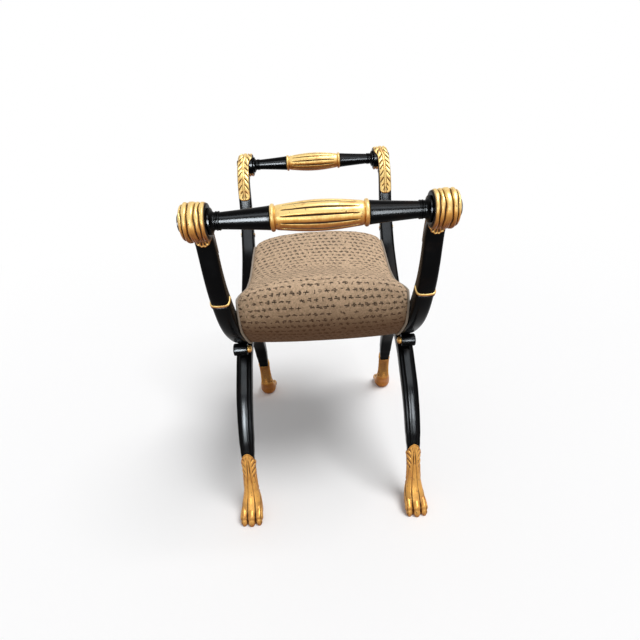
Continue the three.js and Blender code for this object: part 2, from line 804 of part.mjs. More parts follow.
function cushionRing(x, inset) {
  const fullness = Math.max(1 - (x / seamPlace) ** 2, 0) ** crownPower;
  const ring = [];
  for (let i = 0; i < panelPoints; i += 1) {
    const { point, out } = panelAt(i / panelPoints);
    const lift = out.z > 0 ? seatCrown * Math.sqrt(out.z) : seatUnderBulge * out.z;
    ring.push(new THREE.Vector3(
      x,
      point.y + out.y * (seatEndBulge * fullness - inset),
      point.z + lift * fullness - out.z * inset));
  }
  return ring;
}

function cushionShape() {
  const seamInset = pipingRadius + fitGap;
  const half = [
    ...seatStationShares.map((share) => cushionRing(share * seamPlace, 0)),
    cushionRing(seamPlace, 0),
    cushionRing(seamPlace, seamInset),
    cushionRing(seatHalfWidth, seamInset),
  ];
  const otherHalf = half.slice(1).reverse().map((ring) => ring
    .map((point) => new THREE.Vector3(-point.x, point.y, point.z)));
  const rings = [...otherHalf, ...half];
  const cavity = slab(
    curvedOutline(cavityHalfLength, cavityBottom, (y) => webbingTop(y) + fitGap),
    -cavityHalfWidth, cavityHalfWidth);
  const mouth = slab(
    curvedOutline(mouthHalfLength, (y) => cavityBottom(y) - cutOverrun, (y) => cavityBottom(y)
      + fitGap),
    -coverHalfWidth - fitGap, coverHalfWidth + fitGap);
  let cushion = toSolid(loft(rings)).subtract(toSolid(cavity)).subtract(toSolid(mouth));
  for (const side of [-1, 1]) {
    for (const end of [-1, 1]) {
      const hole = pegAlongX(
        screwShankRadius + fitGap, cavityHalfWidth - seatSkin, seatHalfWidth + seatSkin,
        [screwPlace.y, screwPlace.z], screwFacets);
      cushion = cushion.subtract(toSolid(mirrored(hole, side, end)));
    }
  }
  return toGeometry(cushion);
}

function boardShape() {
  let board = toSolid(slab(
    curvedOutline(innerHalfLength, boardBottom, boardTop), boardInner, boardOuter));
  for (const end of [-1, 1]) {
    const hole = pegAlongX(
      screwShankRadius + fitGap, boardInner - cutOverrun, boardOuter + cutOverrun,
      [screwPlace.y, screwPlace.z], screwFacets);
    board = board.subtract(toSolid(mirrored(hole, 1, end)));
  }
  return toGeometry(board);
}

function endRailShape() {
  const top = boardTop(endRailPlace - endRailThickness / 2) - fitGap;
  const rail = new THREE.BoxGeometry(
    (boardInner - fitGap) * 2, endRailThickness, endRailDepth);
  return rail.translate(0, endRailPlace, top - endRailDepth / 2);
}

function screwShape() {
  const head = boardInner - fitGap;
  const tip = frameSpacing / 2 - halfWidth + screwBite;
  const profile = [
    [head - screwHeadHeight, 0],
    [head - screwHeadHeight, screwHeadRadius],
    [head, screwHeadRadius],
    [head, screwShankRadius],
    [tip - screwShankRadius * 2, screwShankRadius],
    [tip, 0],
  ];
  return turned(profile, screwFacets).translate(0, screwPlace.y, screwPlace.z);
}

// Mirrors a geometry that is drawn for the right rear of the stool
function mirrored(geometry, side, end) {
  const copy = geometry.clone();
  if (!copy.index) {
    copy.deleteAttribute('normal');
    copy.deleteAttribute('uv');
  }
  const whole = copy.index ? copy : mergeVertices(copy);
  whole.applyMatrix4(new THREE.Matrix4().makeScale(side, end, 1));
  outward(whole);
  whole.computeVertexNormals();
  return whole;
}

// The stool
const group = new THREE.Group();

function addPiece(name, geometry, finish, side = 1, end = 1) {
  const mesh = new THREE.Mesh(mirrored(geometry, side, end), finish);
  mesh.name = name;
  group.add(mesh);
}

const sides = { left: -1, right: 1 };
const ends = { front: -1, rear: 1 };

// Pieces that each frame has at its front and at its rear, drawn about the frame's own
// middle plane with +X outward
const framePieces = [
  ['upright', uprightShape(), ebonised],
  ['upright_band', bandShape(), gilding],
  ['scroll_leaf', leafShape(), gilding],
  ['leg', legShape(), ebonised],
  ['leg_dowel', toGeometry(legDowelSolid(0)), bareWood],
  ['leg_roll', rollShape(), ebonised],
  ['roll_button', rollButtonShape(), gilding],
  ['paw_foot', pawShape(), gilding],
];
for (const [, geometry] of framePieces) geometry.translate(frameSpacing / 2, 0, 0);

// Pieces that each rail and each seat side has twice, drawn in place on the right
const shaft = shaftShape().translate(0, halfSpan, railHeight);
const endButton = endButtonShape().translate(0, halfSpan, railHeight);
const barrel = barrelShape().translate(0, halfSpan, railHeight);
const screw = screwShape();

for (const [sideName, side] of Object.entries(sides)) {
  for (const [endName, end] of Object.entries(ends)) {
    const place = `${endName}_${sideName}`;
    for (const [name, geometry, finish] of framePieces) {
      addPiece(`${name}_${place}`, geometry, finish, side, end);
    }
    addPiece(`rail_shaft_${place}`, shaft, ebonised, side, end);
    addPiece(`rail_end_button_${place}`, endButton, ebonised, side, end);
    addPiece(`seat_screw_${place}`, screw, steel, side, end);
  }
  const crossDowel = toGeometry(crossDowelSolid(0)).translate(frameSpacing / 2, 0, 0);
  addPiece(`cross_dowel_${sideName}`, crossDowel, bareWood, side);
  addPiece(`seat_board_${sideName}`, boardShape(), bareWood, side);
  addPiece(`seat_piping_${sideName}`, pipingLoop(), cord, side);
}
for (const [endName, end] of Object.entries(ends)) {
  addPiece(`rail_barrel_${endName}`, barrel, gilding, 1, end);
  addPiece(`seat_end_rail_${endName}`, endRailShape(), bareWood, 1, end);
}
addPiece('seat_webbing', slab(
  curvedOutline(innerHalfLength, webbingBottom, webbingTop), -boardOuter, boardOuter), webbing);
addPiece('seat_dust_cover', slab(
  curvedOutline(mouthHalfLength - fitGap, coverBottom, coverTop),
  -coverHalfWidth, coverHalfWidth), lining);
addPiece('seat_cushion', cushionShape(), cloth);

export default group;
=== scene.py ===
import json
import math

import bpy
import numpy as np
from mathutils import Matrix, Vector, kdtree

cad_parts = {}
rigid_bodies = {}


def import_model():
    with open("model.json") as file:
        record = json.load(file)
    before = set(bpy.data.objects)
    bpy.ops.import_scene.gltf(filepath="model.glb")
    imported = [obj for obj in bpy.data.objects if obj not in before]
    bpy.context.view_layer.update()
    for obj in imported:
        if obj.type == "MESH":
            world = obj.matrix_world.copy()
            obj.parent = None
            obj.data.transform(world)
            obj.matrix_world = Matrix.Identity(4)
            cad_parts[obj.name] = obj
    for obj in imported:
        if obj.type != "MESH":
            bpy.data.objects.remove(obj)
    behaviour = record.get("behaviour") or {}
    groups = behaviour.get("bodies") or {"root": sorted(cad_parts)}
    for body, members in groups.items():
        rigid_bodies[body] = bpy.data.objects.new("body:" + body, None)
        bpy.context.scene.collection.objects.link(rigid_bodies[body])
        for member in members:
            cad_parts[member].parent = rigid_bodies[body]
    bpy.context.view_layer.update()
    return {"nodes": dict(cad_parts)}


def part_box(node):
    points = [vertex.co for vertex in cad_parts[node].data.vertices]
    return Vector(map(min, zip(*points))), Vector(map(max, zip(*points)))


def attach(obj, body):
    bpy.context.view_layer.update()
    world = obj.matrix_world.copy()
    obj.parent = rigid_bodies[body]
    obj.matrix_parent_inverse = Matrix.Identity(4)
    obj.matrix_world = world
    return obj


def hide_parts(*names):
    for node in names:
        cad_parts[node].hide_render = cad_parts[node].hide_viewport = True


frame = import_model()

# X frame stool: ebonised curved frames, gilt scroll leaves and paw feet, turned and fluted arm
# rails, and a dished upholstered seat. Metres, Z up, X from frame to frame, front is -Y.
# Pieces that come four times are drawn for the right rear and mirrored to each corner.

mm = 0.001
deg = math.pi / 180

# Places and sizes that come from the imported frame
RAIL_LOW, RAIL_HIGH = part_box("rail_barrel_rear")
RAIL_Y = (RAIL_LOW.y + RAIL_HIGH.y) / 2
RAIL_Z = (RAIL_LOW.z + RAIL_HIGH.z) / 2
DOWEL_LOW, DOWEL_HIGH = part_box("cross_dowel_right")
FRAME_X = (DOWEL_LOW.x + DOWEL_HIGH.x) / 2
UPPER_LOW = (DOWEL_LOW.z + DOWEL_HIGH.z) / 2
HALF_SPREAD = 0.274  # from the middle of the stool to the tips of the toes
SEAT_HALF_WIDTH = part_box("seat_cushion")[1].x
COVER_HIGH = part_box("seat_dust_cover")[1]

# Frame members
MEMBER_WIDTH = 35 * mm
UPPER_DEPTH = 40 * mm
LEG_DEPTH = 36 * mm
CROWN_DEPTH = 18 * mm  # leg arch below the upper curve at the middle of a frame
FIT_GAP = 0.3 * mm
CROSS_HEIGHT = UPPER_LOW - UPPER_DEPTH / 2
ARCH_HEIGHT = CROSS_HEIGHT - CROWN_DEPTH + LEG_DEPTH / 2
RISE = RAIL_Z - UPPER_LOW

# Upper curve out to the scroll: shares of half the rail span, of the rise, depth and width
UPPER_SHARES = [
    (0.0, 0.0, 1.0, 1.0), (0.142, 0.018, 1.0, 1.0), (0.25, 0.06, 1.05, 1.0),
    (0.349, 0.126, 1.1, 1.0), (0.503, 0.246, 1.06, 1.0), (0.602, 0.35, 0.95, 0.98),
    (0.676, 0.463, 0.85, 0.96), (0.73, 0.561, 0.77, 0.94), (0.772, 0.677, 0.68, 0.92),
    (0.801, 0.796, 0.59, 0.91), (0.82, 0.857, 0.57, 0.89), (0.853, 0.918, 0.56, 0.87),
    (0.899, 0.963, 0.56, 0.84), (0.948, 0.991, 0.55, 0.82),
]
# Leg down to the ankle: shares of half the foot spread, of the arch height, depth and width
LEG_SHARES = [
    (0.0, 1.0, 1.0, 1.0), (0.109, 0.988, 1.0, 1.0), (0.2, 0.958, 1.0, 1.0),
    (0.296, 0.912, 1.0, 1.0), (0.369, 0.858, 0.98, 1.0), (0.442, 0.803, 0.96, 1.0),
    (0.511, 0.748, 0.94, 0.99), (0.569, 0.685, 0.91, 0.97), (0.62, 0.621, 0.88, 0.95),
    (0.661, 0.549, 0.86, 0.93), (0.697, 0.477, 0.84, 0.91), (0.73, 0.399, 0.82, 0.9),
    (0.758, 0.319, 0.8, 0.89),
]
# Half outlines of the sections: shares of half the width and half the depth
UPPER_SECTION_SHARES = [
    (0.0, 1.0), (0.7, 0.93), (1.0, 0.64), (1.0, -0.7), (0.78, -0.96), (0.0, -1.0)]
LEG_SECTION_SHARES = [
    (0.0, 1.0), (0.46, 0.96), (0.53, 0.8), (0.9, 0.66), (1.0, 0.5), (1.0, -0.72), (0.8, -1.0)]
CORNER_SHARE = 0.42  # of a side, taken up by the rounding at each of its ends

# Scroll
DRUM_RADIUS = 25 * mm
DRUM_REACH = 37 * mm  # from the upright's inner side to the drum's outer cheek
DRUM_WIDTH = 39.5 * mm
DRUM_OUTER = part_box("upright_rear_right")[0].x - FRAME_X + DRUM_REACH
DRUM_INNER = DRUM_OUTER - DRUM_WIDTH
DRUM_BEVEL = 7 * mm
DRUM_ROUNDING = 2.2 * mm
CHEEK_BULGE = 1.0 * mm  # the inboard cheek swells beside the gilding
CHEEK_DEPTH = 1.6 * mm

# Camera, at the photograph's place
LENS = 24.53
CAMERA_PLACE = (-0.0108, -0.9376, 0.8449)
CAMERA_PITCH = 0.46868
CAMERA_ROLL = -0.0557
CAMERA_YAW = -0.00445


# Curves
def catmull_rom(points, place):
    """Point of a centripetal curve through the rows, and the rows' other columns, at a share."""
    points = np.asarray(points, float)
    spot = min(max(place, 0.0), 1.0) * (len(points) - 1)
    row = min(int(spot), len(points) - 2)
    t = spot - row
    before = points[row - 1] if row > 0 else 2 * points[0] - points[1]
    after = points[row + 2] if row + 2 < len(points) else 2 * points[-1] - points[-2]
    four = [before, points[row], points[row + 1], after]
    gaps = [max(np.dot(d[:2], d[:2]) ** 0.25, 1e-6) for d in np.diff(four, axis=0)]
    slope_in = (four[1] - four[0]) / gaps[0] - (four[2] - four[0]) / (gaps[0] + gaps[1])
    slope_in = (slope_in + (four[2] - four[1]) / gaps[1]) * gaps[1]
    slope_out = (four[2] - four[1]) / gaps[1] - (four[3] - four[1]) / (gaps[1] + gaps[2])
    slope_out = (slope_out + (four[3] - four[2]) / gaps[2]) * gaps[1]
    start, end = four[1], four[2]
    square = -3 * start + 3 * end - 2 * slope_in - slope_out
    cube = 2 * start - 2 * end + slope_in + slope_out
    return start + slope_in * t + square * t * t + cube * t ** 3


class Member:
    """One curved member of a frame: its line in the frame's plane and its section."""

    def __init__(self, shares, reach, low, rise, depth, outward):
        self.rows = [(y * reach, low + z * rise, d * depth / 2, w * MEMBER_WIDTH / 2)
                     for y, z, d, w in shares]
        self.outward = outward

    def at(self, share):
        """Point (y, z), direction away from the seat, half depth and half width."""
        row = catmull_rom(self.rows, share)
        step = 0.002
        ahead = catmull_rom(self.rows, share + step)[:2] - catmull_rom(self.rows, share - step)[:2]
        along = ahead / np.linalg.norm(ahead) if share > 0 else np.array([1.0, 0.0])
        away = np.array([along[1], -along[0]]) * self.outward
        return row[:2], away, row[2], row[3]


upper = Member(UPPER_SHARES, RAIL_Y, UPPER_LOW, RISE, UPPER_DEPTH, 1)
lower = Member(LEG_SHARES, HALF_SPREAD, 0, ARCH_HEIGHT, LEG_DEPTH, -1)


def smooth(low, high, value):
    share = np.clip((value - low) / (high - low), 0, 1)
    return share * share * (3 - 2 * share)


def ridge(offset, width):
    """Rounded ridge of height 1 about offset 0."""
    return np.exp(-(offset / width) ** 2)


def running_lengths(points):
    """Length along a line up to each of its points."""
    return np.append(0, np.cumsum(np.linalg.norm(np.diff(points, axis=0), axis=1)))


def follow(marks, lengths, pairs):
    """Both columns of the pairs, at marks along a line."""
    return [np.interp(marks, lengths, pairs[:, k]) for k in (0, 1)]


def quarter_turned(along):
    """Unit directions a quarter turn from those along a line."""
    along = along / np.linalg.norm(along, axis=1)[:, None]
    return np.stack([-along[:, 1], along[:, 0]], 1)


def half_turn(steps):
    return [math.pi * i / steps for i in range(steps + 1)]


def search_tree(numbered_points):
    tree = kdtree.KDTree(len(numbered_points))
    for i, point in numbered_points:
        tree.insert(point, i)
    tree.balance()
    return tree


def linked(data, place=None, target=None):
    """Object in the scene with its data, placed and aimed."""
    obj = bpy.data.objects.new(data.name, data)
    if place:
        obj.location = place
    if target:
        obj.rotation_euler = (Vector(target) - obj.location).to_track_quat("-Z", "Y").to_euler()
    bpy.context.scene.collection.objects.link(obj)
    return obj


# Meshes
class Shape:
    """Points, faces and how proud each point lies in the carving, from 0 in a hollow to 1."""

    def __init__(self, points, faces, carving=None):
        self.points = np.asarray(points, float).reshape(-1, 3)
        self.faces = faces
        self.carving = np.ones(len(self.points)) if carving is None else np.asarray(carving)

    def placed(self, side=1, end=1, shift=(0, 0, 0)):
        """Copy moved by a shift and then mirrored to a side and an end of the stool."""
        points = (self.points + np.array(shift)) * np.array([side, end, 1])
        faces = self.faces if side * end > 0 else [tuple(reversed(face)) for face in self.faces]
        return Shape(points, faces, self.carving)

    def joined(self, other):
        start = len(self.points)
        faces = self.faces + [tuple(i + start for i in face) for face in other.faces]
        return Shape(np.vstack([self.points, other.points]), faces,
                     np.concatenate([self.carving, other.carving]))


def loft(rings, carving=None, closed=False):
    """Skin through rings of as many points each, with a fan on each open end."""
    rings = np.asarray(rings, float)
    count, around = rings.shape[:2]
    points = rings.reshape(-1, 3)
    faces = []
    for i in range(count if closed else count - 1):
        here, there = i * around, ((i + 1) % count) * around
        for j in range(around):
            k = (j + 1) % around
            faces.append((here + j, there + j, there + k, here + k))
    carving = np.ones(len(points)) if carving is None else np.asarray(carving).reshape(-1)
    if not closed:
        for end in (0, count - 1):
            middle = len(points)
            points = np.vstack([points, rings[end].mean(axis=0)])
            carving = np.append(carving, carving[end * around:(end + 1) * around].mean())
            for j in range(around):
                pair = (end * around + j, end * around + (j + 1) % around)
                faces.append((middle, *pair) if end == 0 else (middle, *reversed(pair)))
    shape = Shape(points, faces, carving)
    if signed_volume(shape) < 0:
        shape.faces = [tuple(reversed(face)) for face in shape.faces]
    return shape


def signed_volume(shape):
    """Six times the volume inside the faces, and negative where they face inwards."""
    corners = [(face[0], face[i], face[i + 1])
               for face in shape.faces for i in range(1, len(face) - 1)]
    a, b, c = shape.points[np.array(corners).T]
    return float(np.sum(a * np.cross(b, c)))


FULL_TURNED_HOLLOW = 1.5 * mm
SMALLEST_TURNED_RADIUS = 0.05 * mm


def turned(profile, around, relief=None):
    """Turned solid about the X axis from (x, radius) points. Relief may lower each ring."""
    rings = []
    carving = []
    angles = np.arange(around) / around * 2 * math.pi
    for x, radius in profile:
        depth = relief(x, angles) if relief else np.zeros(around)
        reach = np.maximum(radius - depth, SMALLEST_TURNED_RADIUS)
        rings.append(np.stack(
            [np.full(around, x), reach * np.cos(angles), reach * np.sin(angles)], 1))
        carving.append(1 - np.clip(depth / FULL_TURNED_HOLLOW, 0, 1))
    return loft(rings, carving)


CORNER_STEPS = 4


def corner_curve(start, here, end, steps=CORNER_STEPS):
    """Points round a corner, from one side of it to the other."""
    return [(1 - t) ** 2 * start + 2 * t * (1 - t) * here + t * t * end
            for t in (i / steps for i in range(steps + 1))]


def rounded(points, radius):
    """Profile with rounded corners between its two ends."""
    points = [np.array(p, float) for p in points]
    out = [points[0]]
    for before, here, after in zip(points, points[1:], points[2:]):
        sides = [other - here for other in (before, after)]
        lengths = [np.linalg.norm(side) for side in sides]
        start, end = (here + side / length * min(radius, length * 0.48)
                      for side, length in zip(sides, lengths))
        out += corner_curve(start, here, end)
    return [tuple(p) for p in out + [points[-1]]]


def section_outline(half_shares, steps=CORNER_STEPS):
    """Closed outline of a member's section with rounded corners, in shares."""
    other = [(-u, v) for u, v in reversed(half_shares) if u > 0]
    corners = [np.array(p) for p in half_shares + other]
    out = []
    for i, here in enumerate(corners):
        start, end = (here + (corners[k % len(corners)] - here) * CORNER_SHARE
                      for k in (i - 1, i + 1))
        out += corner_curve(start, here, end, steps)
    return np.array(out)


def member_ring(place, outline, grow=0.0):
    (y, z), away, depth, width = place
    ring = np.zeros((len(outline), 3))
    ring[:, 0] = outline[:, 0] * (width + grow)
    ring[:, 1] = y + outline[:, 1] * (depth + grow) * away[0]
    ring[:, 2] = z + outline[:, 1] * (depth + grow) * away[1]
    return ring


def mesh_object(name, shape):
    mesh = bpy.data.meshes.new(name)
    mesh.from_pydata(shape.points.tolist(), [], shape.faces)
    mesh.update()
    carving = mesh.attributes.new("carving", "FLOAT", "POINT")
    carving.data.foreach_set("value", shape.carving.astype(np.float32))
    return linked(mesh)


def shape_of(obj):
    """Points and faces of an object after its modifiers."""
    evaluated = obj.evaluated_get(bpy.context.evaluated_depsgraph_get())
    mesh = evaluated.to_mesh()
    points = np.zeros(len(mesh.vertices) * 3)
    mesh.vertices.foreach_get("co", points)
    faces = [tuple(face.vertices) for face in mesh.polygons]
    evaluated.to_mesh_clear()
    return Shape(points, faces)


def remove(*objects):
    for obj in objects:
        bpy.data.objects.remove(obj)


def boolean(shape, tool, operation):
    """One shape joined with or cut by another."""
    first, second = mesh_object("boolean_first", shape), mesh_object("boolean_second", tool)
    step = first.modifiers.new("boolean", "BOOLEAN")
    step.operation = operation
    step.object = second
    step.solver = "EXACT"
    result = shape_of(first)
    remove(first, second)
    return result


def remeshed(shape, size):
    """One closed skin around a shape's overlapping solids."""
    obj = mesh_object("remesh", shape)
    step = obj.modifiers.new("remesh", "REMESH")
    step.mode = "VOXEL"
    step.voxel_size = size
    result = shape_of(obj)
    remove(obj)
    return result


def point_normals(shape):
    mesh = bpy.data.meshes.new("normals")
    mesh.from_pydata(shape.points.tolist(), [], shape.faces)
    normals = np.zeros(len(mesh.vertices) * 3)
    mesh.vertex_normals.foreach_get("vector", normals)
    bpy.data.meshes.remove(mesh)
    return normals.reshape(-1, 3)


def relaxed(shape, rounds, factor=0.5):
    """Shape with each point drawn towards its neighbours."""
    edges = np.array([(face[i - 1], face[i]) for face in shape.faces for i in range(len(face))])
    points = shape.points.copy()
    count = np.bincount(edges.ravel(), minlength=len(points))[:, None]
    for _ in range(rounds):
        total = np.zeros_like(points)
        np.add.at(total, edges[:, 0], points[edges[:, 1]])
        np.add.at(total, edges[:, 1], points[edges[:, 0]])
        points += (total / np.maximum(count, 1) - points) * factor
    return Shape(points, shape.faces, shape.carving)


def add_piece(name, shape, finish, nodes, sharp=40 * deg):
    """Finished piece on the stool's body that stands for the named nodes."""
    obj = mesh_object(name, shape)
    obj.data.shade_smooth()
    obj.data.set_sharp_from_angle(angle=sharp)
    obj.data.materials.append(finish)
    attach(obj, "root")
    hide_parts(*nodes)
    return obj


SIDES = {"left": -1, "right": 1}
ENDS = {"front": -1, "rear": 1}


def add_at_corners(piece, shape, finish, node, shift=(0, 0, 0)):
    """The piece at each corner of the stool, in place of the node of that corner."""
    for side_name, side in SIDES.items():
        for end_name, end in ENDS.items():
            corner = f"{end_name}_{side_name}"
            add_piece(f"{piece}_{corner}", shape.placed(side, end, shift), finish,
                      [f"{node}_{corner}"])


# Finishes, written as sums over shader values
class Flow:
    """A value, colour or vector on its way through a finish."""

    def __init__(self, recipe, socket):
        self.recipe = recipe
        self.socket = socket

    def sum(self, operation, other, swapped=False):
        values = (other, self) if swapped else (self, other)
        return self.recipe.node("Math", {"operation": operation}, dict(enumerate(values)))

    def __add__(self, other):
        return self.sum("ADD", other)

    __radd__ = __add__

    def __sub__(self, other):
        return self.sum("SUBTRACT", other)

    def __rsub__(self, other):
        return self.sum("SUBTRACT", other, swapped=True)

    def __mul__(self, other):
        return self.sum("MULTIPLY", other)

    __rmul__ = __mul__

    def __truediv__(self, other):
        return self.sum("DIVIDE", other)

    def wave(self):
        return self.recipe.node("Math", {"operation": "SINE"}, {0: self})

    def whole(self):
        return self.recipe.node("Math", {"operation": "FLOOR"}, {0: self})

    def part(self):
        return self.recipe.node("Math", {"operation": "FRACT"}, {0: self})

    def size(self):
        return self.recipe.node("Math", {"operation": "ABSOLUTE"}, {0: self})

    def within(self, middle, half, soft):
        """1 inside a band and 0 outside, with a soft edge."""
        return 1 - ((self - middle).size() - half).rises(0, soft)

    def larger(self, other):
        return self.sum("MAXIMUM", other)

    def rises(self, low, high):
        """0 below low and 1 above high, with a soft step between."""
        return self.recipe.node(
            "MapRange", {"interpolation_type": "SMOOTHSTEP", "clamp": True},
            {"Value": self, "From Min": low, "From Max": high})

    def stretched(self, *scales):
        """A vector with each of its parts scaled."""
        return self.recipe.node("VectorMath", {"operation": "MULTIPLY"}, {0: self, 1: scales})

    def coordinate(self, axis):
        return self.recipe.node("SeparateXYZ", {}, {0: self}, output=axis)


class Recipe:
    """Nodes of one finish, or of the world."""

    def __init__(self, holder):
        self.holder = holder
        holder.use_nodes = True
        self.tree = holder.node_tree
        self.tree.nodes.clear()
        if isinstance(holder, bpy.types.Material):
            self.place = self.node("TexCoord", output="Object")

    def node(self, kind, settings=None, values=None, output=0):
        """Output of a new node, with its settings, and with values or flows on its sockets."""
        node = self.tree.nodes.new("ShaderNode" + kind)
        for key, value in (settings or {}).items():
            setattr(node, key, value)
        for key, value in (values or {}).items():
            if isinstance(value, Flow):
                self.tree.links.new(value.socket, node.inputs[key])
            else:
                node.inputs[key].default_value = value
        return Flow(self, node.outputs[output])

    def noise(self, scale, detail=3.0, rough=0.5, place=None, twist=0.0):
        return self.node("TexNoise", {}, {
            "Vector": place or self.place, "Scale": scale, "Detail": detail, "Roughness": rough,
            "Distortion": twist})

    def mixed(self, first, second, share):
        """Colour between two colours."""
        return self.node("Mix", {"data_type": "RGBA"}, {0: share, 6: first, 7: second}, output=2)

    def attribute(self, name):
        return self.node("Attribute", {"attribute_name": name}, output="Fac")

    def facing_up(self):
        """From -1 on faces that look down to 1 on those that look up."""
        return self.node("NewGeometry", output="Normal").coordinate("Z")

    def seen(self):
        """1 for what the camera or a reflection sees, 0 for what lights other surfaces."""
        camera, glossy, through = (self.node("LightPath", output=f"Is {kind} Ray")
                                   for kind in ("Camera", "Glossy", "Transmission"))
        return camera.larger(glossy).larger(through)

    def pair(self, x, y, z=0.0):
        return self.node("CombineXYZ", {}, {0: x, 1: y, 2: z})

    def bump(self, height, distance, strength=1.0):
        return self.node("Bump", {}, {"Height": height, "Distance": distance, "Strength": strength},
                         output="Normal")

    def finish(self, colour, roughness, normal=None, **constants):
        """Surface of the material. Constants are set on the shader's own sockets."""
        values = {"Base Color": colour, "Roughness": roughness}
        if normal:
            values["Normal"] = normal
        for key, value in constants.items():
            values[key.replace("_", " ")] = value
        self.output(self.node("BsdfPrincipled", {}, values))
        return self.holder

    def output(self, surface, kind="Material"):
        node = self.tree.nodes.new("ShaderNodeOutput" + kind)
        self.tree.links.new(surface.socket, node.inputs["Surface"])


def finish_recipe(name):
    return Recipe(bpy.data.materials.new(name))


def rgb(red, green, blue):
    return (red, green, blue, 1.0)


def ebonised_lacquer():
    """Black stained hardwood under a polish, a little brown where it has thinned."""
    recipe = finish_recipe("ebonised_lacquer")
    thin = recipe.noise(22, detail=5, rough=0.6).rises(0.52, 0.8)
    colour = recipe.mixed(rgb(0.0014, 0.0013, 0.0016), rgb(0.009, 0.004, 0.0022), thin)
    haze = recipe.noise(60, detail=4)
    roughness = 0.19 + haze * 0.09 + thin * 0.07
    grain = recipe.noise(40, detail=3, place=recipe.place.stretched(1, 1, 0.35))
    normal = recipe.bump(grain, 0.2 * mm, 0.4)
    return recipe.finish(colour, roughness, normal, Specular_IOR_Level=0.031)


def water_gilding():
    """Burnished gold leaf over red-brown bole, with painted light and shade: paler higher up and on
    faces that look up, darker on faces that look down, bright on the ridges and dark in the hollows
    from toning and painted shade.
    """
    recipe = finish_recipe("water_gilding")
    proud = recipe.attribute("carving")
    patch = recipe.noise(48, detail=6, rough=0.62)
    fine = recipe.noise(420, detail=5, rough=0.7)
    facing = recipe.facing_up()
    streak = recipe.noise(1.0, detail=4, rough=0.65, place=recipe.place.stretched(260, 260, 45))
    upward = facing + patch * 0.5 - 0.25 + (streak - 0.5) * 0.7
    # Painted light and shade: the gold is paler and yellower higher up, deeper orange and browner
    # lower down
    high = recipe.place.coordinate("Z").rises(0.1, 0.62)
    pale = recipe.mixed(rgb(0.76, 0.39, 0.09), rgb(0.9, 0.65, 0.25), high)
    under = recipe.mixed(rgb(0.1, 0.03, 0.004), rgb(0.17, 0.047, 0.005), high)
    orange = recipe.mixed(rgb(0.44, 0.16, 0.024), rgb(0.64, 0.31, 0.065), high)
    # Painted light and shade: faces that look up are painted paler gold, faces that look down
    # darker brown (upward also carries random patches and streaks)
    colour = recipe.mixed(under, orange, upward.rises(-0.75, 0.0))
    colour = recipe.mixed(colour, pale, upward.rises(-0.15, 0.35))
    colour = recipe.mixed(colour, rgb(0.5, 0.2, 0.05), patch.rises(0.5, 0.68) * 0.62)
    # Painted shade: faces that look down are darkened towards a deep orange-brown
    below = (0 - facing).rises(-0.1, 0.7)
    shade = recipe.mixed(rgb(0.56, 0.19, 0.008), rgb(0.33, 0.1, 0.012), high)
    colour = recipe.mixed(colour, shade, below * 0.6)
    # Dark in the carved hollows: partly toning, partly painted shade
    hollow = (proud + fine * 0.3 - 0.15).rises(0.05, 0.75)
    colour = recipe.mixed(rgb(0.05, 0.017, 0.004), colour, hollow)
    rubbed = (recipe.noise(150, detail=6, rough=0.7) + proud * 0.05).rises(0.66, 0.71)
    colour = recipe.mixed(colour, rgb(0.09, 0.028, 0.012), rubbed * 0.8)
    metallic = hollow * (1 - rubbed * 0.85) * 0.72
    roughness = 0.24 + patch * 0.2 + (1 - hollow) * 0.3
    height = fine * 0.25 + recipe.noise(130, detail=4) * 0.75
    normal = recipe.bump(height, 0.5 * mm, 0.55)
    return recipe.finish(colour, roughness, normal, Metallic=metallic)


CLOTH_ROW_PITCH = 14.5 * mm
CLOTH_MARK_PITCH = 13.2 * mm
CLOTH_ROW_WANDER = 5 * mm
THREAD_PITCH = 1.1 * mm


